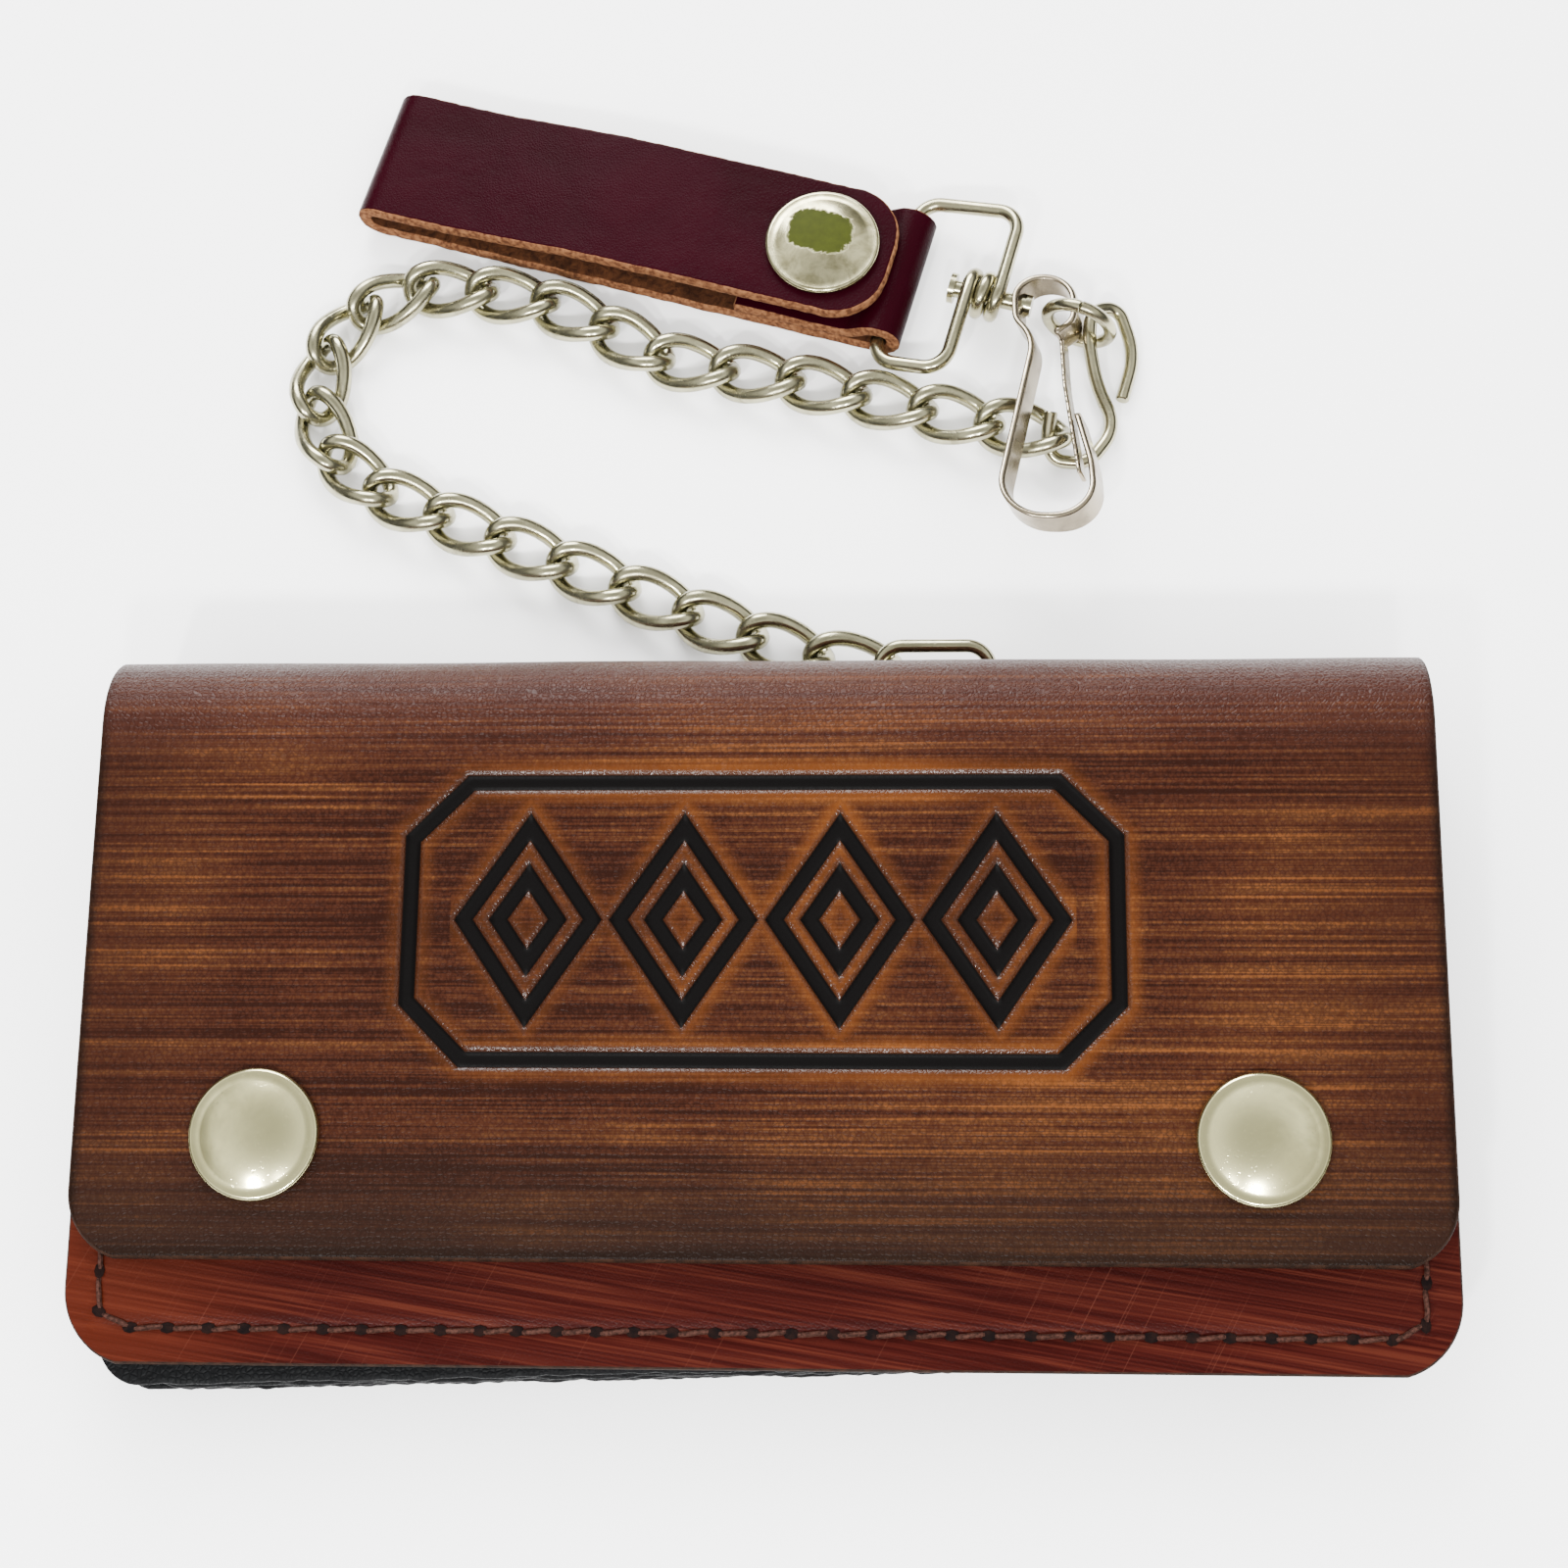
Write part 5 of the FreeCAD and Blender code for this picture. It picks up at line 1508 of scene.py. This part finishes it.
@dataclass
class Clip:
    """S-hook, jump ring, and snap clip with its gate. Millimetres."""

    finishes: Finishes
    chain: Chain
    hook_wire: float = 1.9
    hook: Sequence[Point] = (
        (9.1, 6.3, 1.0), (11.0, 13.0, 1.3), (8.8, 19.8, 2.4), (5.0, 18.4, 4.2), (4.5, 13.8, 3.9),
        (5.6, 8.2, 1.3), (8.2, 2.0, 1.0), (4.2, -3.4, 1.0), (-0.6, -2.9, 1.0), (-1.4, 0.1, 2.4),
        (-0.9, 2.9, 3.9))
    jump_wire: float = 1.8
    jump_radius: float = 4.5
    jump_offset: Point = (3.1, 15.7, 0.0)
    jump_heading: float = -20.0
    jump_cut: float = 3.0
    jump_lift: float = 0.02
    offset: Point = (-1.0, 18.9, 4.3)
    strip: float = 0.9
    width: float = 3.6
    lift: float = math.radians(9.5)
    lean: float = 0.36
    edge: float = 0.15
    columns: Sequence[float] = (-1, -0.96, -0.6, 0, 0.6, 0.96, 1)
    route: Sequence[Point] = (
        (1.4, -5.6, 0), (4.0, -3.6, 3.0), (4.0, 4.0, 3.9), (-4.0, 4.0, 3.9), (-4.0, -3.2, 3.0),
        (-1.5, -6.4, 6.0), (-7.6, -35.6, 5.5), (5.9, -35.8, 5.5), (5.5, -27.0, 12.0),
        (3.9, -19.4, 0))
    gate_strip: float = 0.6
    gate_width: float = 2.6
    gate_nicks: float = 0.12
    gate: Sequence[Point] = ((2.0, -6.4, 0), (2.2, -14.0, 30.0), (3.7, -28.5, 0))

    def end(self) -> Vector:
        """Last joint of the chain, on the table."""
        last = self.chain.joints()[-1]
        return Vector((last[0], last[1], 0))

    def centre(self) -> Vector:
        """Middle of the clip's head."""
        return self.end() + Vector(self.offset)

    def plane(self) -> Matrix:
        """Frame of the clip's own plane, with the strip's section leaning to one side."""
        up = Vector((0, math.cos(self.lift), -math.sin(self.lift)))
        plane = basis(self.centre(), Vector((1, 0, 0)), up)
        plane[0][2] = -self.lean
        return plane

    def strip_piece(self, name: str, route: Sequence[Point], thick: float, width: float,
                    rows: float, ragged: float = 0.0) -> bpy.types.Object:
        """Bent strip standing on its edge in the clip's plane.

        Args:
            name: name of the piece.
            route: corners with their radii.
            thick: thickness of the strip.
            width: width of the strip.
            rows: distance between two rows.
            ragged: size of the nicks along the strip's edges.

        Returns:
            The piece.
        """
        track = Track([p[:2] for p in route], [p[2] for p in route], 6.0)
        marks = graded((0.1, track.length - 0.1), (rows,))
        nick = 1 - ragged * (0.5 + 0.5 * np.sin(marks * 5.2 + 1.7 * np.sin(marks * 1.9)))
        level = nick[:, None] * np.array(self.columns) * (width / 2 - self.edge)
        outer, inner = (track.sweep(marks, offset, level, (0, 1, 2))
                        for offset in (thick / 2, -thick / 2))
        shell, _ = slab(outer, inner, 0.6)
        return mesh_piece(name, shifted(shell, self.plane()), [self.finishes.strip], sharp=80.0)

    def jump_route(self) -> np.ndarray:
        """Middle line of the jump ring, which stands on the table."""
        lift = self.jump_radius + self.jump_wire / 2 + self.jump_lift
        centre = self.end() + Vector(self.jump_offset) + Vector((0, 0, lift))
        turns = 90 + self.jump_cut / 2 + (360 - self.jump_cut) * np.linspace(0, 1, 41)
        angles = np.radians(turns)[:, None]
        level, up = np.array(heading(self.jump_heading)), np.array((0, 0, 1.0))
        return np.array(centre) + self.jump_radius * (np.cos(angles) * level + np.sin(angles) * up)

    def build(self) -> None:
        """Build hook, jump ring and clip."""
        wire = [self.finishes.wire]
        route = soften([self.end() + Vector(spot) for spot in self.hook])
        hook = tube(route, self.hook_wire / 2, 14, 0.2)
        finish_piece(mesh_piece("s_hook_wire", hook, wire), Slot.HARDWARE, "s_hook", "s_hook")
        jump = mesh_piece("jump_ring_wire", tube(self.jump_route(), self.jump_wire / 2), wire)
        finish_piece(jump, Slot.HARDWARE, "jump_ring", "jump_ring")
        body = self.strip_piece("clip_strip", self.route, self.strip, self.width, 0.7)
        finish_piece(body, Slot.CLIP, "clip", "clip_body")
        gate = self.strip_piece("clip_gate_strip", self.gate, self.gate_strip, self.gate_width,
                                0.25, self.gate_nicks)
        finish_piece(gate, Slot.CLIP, "gate", "clip_gate")


@dataclass
class BeltStrap:
    """Folded belt strap with its cap, and the rectangular ring with its coil. Millimetres."""

    finishes: Finishes
    clip: Clip
    width: float = 20.0
    leather: float = 1.9
    turn: float = -15.7
    bar_at: float = 76.1
    wrap: float = 1.25
    ply_gap: float = 0.05
    fold: float = 2.6
    tip_corner: float = 7.0
    rim: float = 0.35
    ragged: Sequence[Flat] = ((0.006, 6.0), (0.005, 2.0))
    wave: Flat = (14.0, 33.0)
    wave_radius: float = 60.0
    sag: float = 0.2
    wrap_run: float = 1.2
    rise_at: float = 71.6
    ease: float = 3.0
    snap_at: float = 65.5
    snap_room: float = 2.0
    tail_at: float = 55.0
    tail_short: float = 0.4
    seam_lap: float = 0.3
    tip_at: float = 75.5
    bend: tuple[Point, Point] = ((4.0, 0, 1.9), (4.0, 0, 4.6))
    patch: Flat = (-0.6, 0.9)
    post_z: float = 3.45
    head_from_bar: float = 21.5
    ring_wire: float = 2.0
    ring_width: float = 12.4
    ring_height: float = 25.8
    ring_corner: float = 3.2
    ring_shift: float = 0.7
    ring_spread: float = 2.2
    ring_gap: float = 0.05
    coil_radius: float = 2.45
    coil_turns: int = 2
    coil_steps: int = 24
    coil_pitch: float = 2.12
    seam_at: float = 12.0

    @property
    def bar_z(self) -> float:
        """Height of the ring's bar."""
        return self.leather + self.wrap

    @property
    def upper_z(self) -> float:
        """Height of the upper half's middle at its snap."""
        return self.bar_z + self.wrap + self.leather * 1.5 + self.ply_gap

    def origin(self) -> Vector:
        """Left end of the strap's middle line, on the table."""
        centre, reach = self.clip.centre(), self.bar_at + self.head_from_bar
        return (Vector((centre.x, centre.y, 0)) - heading(self.turn) * reach
                - heading(self.turn + 90) * self.ring_shift)

    def place(self) -> Matrix:
        """Frame of the strap: X along, Y across, Z up."""
        return basis(self.origin(), heading(self.turn), heading(self.turn + 90))

    def spot(self, along: float, side: float, z: float) -> Vector:
        """Spot given along, across and above the strap."""
        return (self.origin() + heading(self.turn) * along + heading(self.turn + 90) * side
                + Vector((0, 0, z)))

    def half_piece(self, name: str, track: Track, marks: np.ndarray, half: np.ndarray, side: int,
                   seed: int) -> bpy.types.Object:
        """Strip of the strap along a track.

        Args:
            name: name of the piece.
            track: middle of the leather in (length, Z).
            marks: distances of the rows.
            half: half width of each row.
            side: 1 where the grain side is on the track's left, otherwise -1.
            seed: seed of the edges' raggedness.

        Returns:
            The piece.
        """
        across = width_shares(0.9, 0.025, 0.15)
        y = (half * (1 + ragged_edge(marks, seed, self.ragged)))[:, None] * across[None, :]
        outer, inner = (track.sweep(marks, offset, y, (0, 2, 1))
                        for offset in (side * self.leather / 2, -side * self.leather / 2))
        shell, kinds = slab(outer, inner, self.rim, 6)
        # the flesh side's suede is darkened as painted shade of the gap between the halves
        mats = [self.finishes.burgundy, self.finishes.suede, self.finishes.tan]
        return mesh_piece(name, shifted(shell, self.place()), mats, kinds, 60.0)

    def lower_half(self, side: float) -> None:
        """Build the lower half, whose end is wrapped round the ring's bar and lies back on it."""
        half = self.leather / 2
        wrap = self.wrap + half
        tail_z = self.leather * 1.5 + self.ply_gap
        points = [(self.seam_at - self.seam_lap, half), (self.bar_at + wrap, half),
                  (self.bar_at + wrap, self.bar_z + wrap),
                  (self.bar_at - self.wrap_run, self.bar_z + wrap),
                  (self.rise_at, tail_z), (self.tail_at + self.tail_short, tail_z)]
        track = Track(points, [0, wrap, wrap, self.ease, self.ease, 0], 6.0)
        marks = graded((0, track.length), (0.8,))
        widths = np.full(len(marks), side)
        piece = self.half_piece("strap_lower_leather", track, marks, widths, -1, 81)
        finish_piece(piece, Slot.BURGUNDY, "strap_lower", "strap_lower")

    def upper_half(self, side: float) -> None:
        """Build the upper half, from the seam round the fold to the rounded tip."""
        half, radius, wave = self.leather / 2, (self.fold + self.leather) / 2, self.wave_radius
        top = half + 2 * radius
        points = [(self.seam_at, half), (radius, half), (0.0, half), (0.0, top), (radius, top),
                  (self.wave[0], top), (self.wave[1], self.upper_z - self.sag),
                  (self.snap_at - Snaps.radius - self.snap_room, self.upper_z),
                  (self.tip_at - self.rim, self.upper_z)]
        track = Track(points, [0, 0, radius * 0.999, radius * 0.999, 0, wave, wave, wave, 0], 6.0)
        marks = graded((0, track.length - self.tip_corner, track.length), (0.8, 0.35))
        widths = side - corner_loss(self.tip_corner, track.length - marks)
        piece = self.half_piece("strap_upper_leather", track, marks, widths, 1, 91)
        reach = (tuple(self.spot(*self.bend[0])), tuple(self.spot(*self.bend[1])))
        blend_piece(piece, Slot.BURGUNDY, ("strap_lower", "strap_upper"), reach, "strap_upper")

    def build(self) -> None:
        """Build both halves, the ring and the cap."""
        half = self.leather / 2
        side = self.width / 2 - half * self.rim
        self.lower_half(side)
        self.upper_half(side)
        wire = tube(self.ring_route(), self.ring_wire / 2)
        piece = mesh_piece("ring_frame_wire", wire, [self.finishes.wire])
        finish_piece(piece, Slot.HARDWARE, "ring_frame", "ring_frame")

        middle = self.spot(self.snap_at + self.patch[0], self.patch[1], 0.0)
        look = Look("worn_cap", "#CDC7A0", "#7C7656", 0.20, 330.0)
        metal = StrapCapMetal(self.finishes.effects, look, middle, self.turn).material
        seat = self.place() @ Matrix.Translation((self.snap_at, 0, self.upper_z + half))
        dome = Snaps(self.finishes).cap(self.leather - self.ply_gap)
        piece = mesh_piece("strap_cap_dome", shifted(dome, seat), [metal])
        finish_piece(piece, Slot.SNAP, "strap_upper", "strap_cap")

    def ring_route(self) -> np.ndarray:
        """Route of the ring's one wire: left bar, one side, coil, other side, left bar."""
        half, shift = self.ring_height / 2, self.ring_shift
        back = self.bar_at + self.ring_width
        reach = self.coil_turns * self.coil_pitch / 2
        top = self.post_z + self.coil_radius

        def corner(along: float, side: float) -> Vector:
            """Spot of the ring's sloping plane."""
            rise = (along - self.bar_at) / self.ring_width
            return self.spot(along, side, self.bar_z + (top - self.bar_z) * rise)

        lower = [corner(self.bar_at, -self.ring_gap), corner(self.bar_at, -half),
                 corner(back - reach, -half),
                 self.spot(back - reach, shift - self.ring_spread, top)]
        upper = [self.spot(back + reach, shift + self.ring_spread, top), corner(back + reach, half),
                 corner(self.bar_at, half), corner(self.bar_at, self.ring_gap)]
        radii = [0, self.ring_corner, self.ring_corner, 0]
        coil = []
        for index in range(self.coil_turns * self.coil_steps + 1):
            part = index / self.coil_steps
            angle = math.radians(90 - 360 * part)
            coil.append(self.spot(back - reach + part * self.coil_pitch,
                                  shift + self.coil_radius * math.cos(angle),
                                  self.post_z + self.coil_radius * math.sin(angle)))
        return np.vstack([soften(lower, radii), np.array(coil), soften(upper, radii)])


@dataclass
class SmallParts:
    """Nodes of the frame that are shown as they are, each with its finish."""

    finishes: Finishes

    def build(self) -> None:
        """Dress every node that no piece stands for."""
        f = self.finishes
        dressed = (
            (f.black, ("gusset_left", "gusset_right", "anchor_tab")),
            (f.cloth, ("zipper_tapes",)),
            (f.brass, ("zipper_slider", "zipper_pull")),
            (f.cap, ("flap_snap_sockets", "front_snap_studs", "strap_socket", "strap_stud",
                     "anchor_rivet")),
            (f.wire, ("swivel_post",)),
        )
        for material, names in dressed:
            for name in names:
                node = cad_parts[name]
                node.data.materials.clear()
                node.data.materials.append(material)
                LOG.info("%s: the frame's own node", name)


# ------------------------------------------------------------------ studio
@dataclass
class Studio:
    """Pale table, soft lights and the camera of the photograph. Millimetres and radians."""

    camera_spot: Point = (19.5556, -71.033, 305.3441)
    tilt: float = 0.3301
    yaw: float = 0.1688
    roll: float = 0.1621
    focal: float = 56.25
    sensor: float = 36.0
    aim: Point = (0, 30, 0)
    lights: Sequence[tuple[str, Point, float, float]] = (
        ("back", (-120.0, 640.0, 420.0), 420.0, 10.0),
        ("front_left", (-190.0, -430.0, 520.0), 60.0, 5.0),
        ("front_right", (60.0, -460.0, 540.0), 60.0, 5.0))
    floor_grey: float = 0.93
    floor_reach: float = 3000.0
    floor_drop: float = 0.2
    sky: Sequence[Flat] = ((0.0, 0.03), (0.14, 0.04), (0.30, 0.35), (0.50, 1.0), (0.75, 0.95),
                           (0.86, 0.55), (0.96, 0.18), (1.0, 0.15))
    sky_strength: float = 6.0
    mirrored: Sequence[Flat] = ((0.0, 0.01), (0.30, 0.03), (0.52, 0.10), (0.66, 0.75), (0.78, 1.0),
                                (0.90, 0.75), (0.97, 0.5), (1.0, 0.42))
    mirrored_blue: float = 0.93
    mirror_strength: float = 1.6
    seen_strength: float = 4.2

    def build(self) -> None:
        """Build floor, world, lights and camera."""
        self.floor()
        self.world()
        for name, spot, size, power in self.lights:
            lamp = bpy.data.lights.new(name, "AREA")
            lamp.shape = "DISK"
            lamp.size = size * MM
            lamp.energy = power
            holder = set_out(name, lamp)
            holder.location = Vector(spot) * MM
            away = Vector(self.aim) * MM - holder.location
            holder.rotation_euler = away.to_track_quat("-Z", "Y").to_euler()
        self.camera()

    def floor(self) -> None:
        """Pale floor, a little below the table's height, so that nothing lies in it."""
        reach, drop = self.floor_reach * MM, self.floor_drop * MM
        data = bpy.data.meshes.new("floor")
        corners = [(x * reach, y * reach, -drop) for x, y in ((-1, -1), (1, -1), (1, 1), (-1, 1))]
        data.from_pydata(corners, [], [(0, 1, 2, 3)])
        material = bpy.data.materials.new("floor")
        material.use_nodes = True
        shader = material.node_tree.nodes["Principled BSDF"]
        shader.inputs["Base Color"].default_value = (*(self.floor_grey,) * 3, 1)
        shader.inputs["Roughness"].default_value = 0.9
        data.materials.append(material)
        set_out("floor", data)

    def world(self) -> None:
        """Soft tent: bright round the sides, dark overhead, dimmer in mirrors, even where seen."""
        world = bpy.data.worlds.new("studio")
        world.use_nodes = True
        g = Graph(world.node_tree)
        up = g.split(g.node("ShaderNodeTexCoord").outputs["Generated"])[2]
        shades = [g.ramp(up, [(place, (grey, grey, grey * blue, 1.0)) for place, grey in stops])
                  for stops, blue in ((self.sky, 1.0), (self.mirrored, self.mirrored_blue))]
        path = g.node("ShaderNodeLightPath").outputs
        shine, seen = path["Is Glossy Ray"], path["Is Camera Ray"]
        strength = self.sky_strength
        for mask, level in ((shine, self.mirror_strength), (seen, self.seen_strength)):
            strength = g.less(strength, g.times(mask, self.sky_strength - level))
        colour = g.mix(seen, g.mix(shine, *shades), (1.0, 1.0, 1.0, 1.0))
        background = g.node("ShaderNodeBackground", {"Color": colour, "Strength": strength})
        g.node("ShaderNodeOutputWorld", {"Surface": background.outputs[0]})
        bpy.context.scene.world = world

    def camera(self) -> None:
        """Camera at the photograph's angle."""
        turn = Matrix.Rotation(self.yaw, 3, "Z")
        forward = turn @ Vector((0, math.sin(self.tilt), -math.cos(self.tilt)))
        right = turn @ Vector((1, 0, 0))
        down = forward.cross(right)
        level = right * math.cos(self.roll) + down * math.sin(self.roll)
        drop = down * math.cos(self.roll) - right * math.sin(self.roll)
        lens = bpy.data.cameras.new("camera")
        lens.lens = self.focal
        lens.sensor_width = self.sensor
        lens.clip_start, lens.clip_end = 0.01, 20.0
        camera = set_out("camera", lens)
        camera.matrix_world = basis(Vector(self.camera_spot) * MM, level, -drop)
        bpy.context.scene.camera = camera


def main() -> None:
    """Build the wallet, its chain, its strap and the studio."""
    logging.basicConfig(level=logging.INFO, format="%(name)s: %(message)s")
    finishes, row = Finishes(), Row()
    chain = Chain(finishes, row)
    clip = Clip(finishes, chain)
    for assembly in (Cover(finishes), FrontPanel(finishes, row), Inside(finishes), Snaps(finishes),
                     Zipper(finishes, row), chain, clip, BeltStrap(finishes, clip),
                     SmallParts(finishes), Studio()):
        assembly.build()


if __name__ == "__main__":
    main()
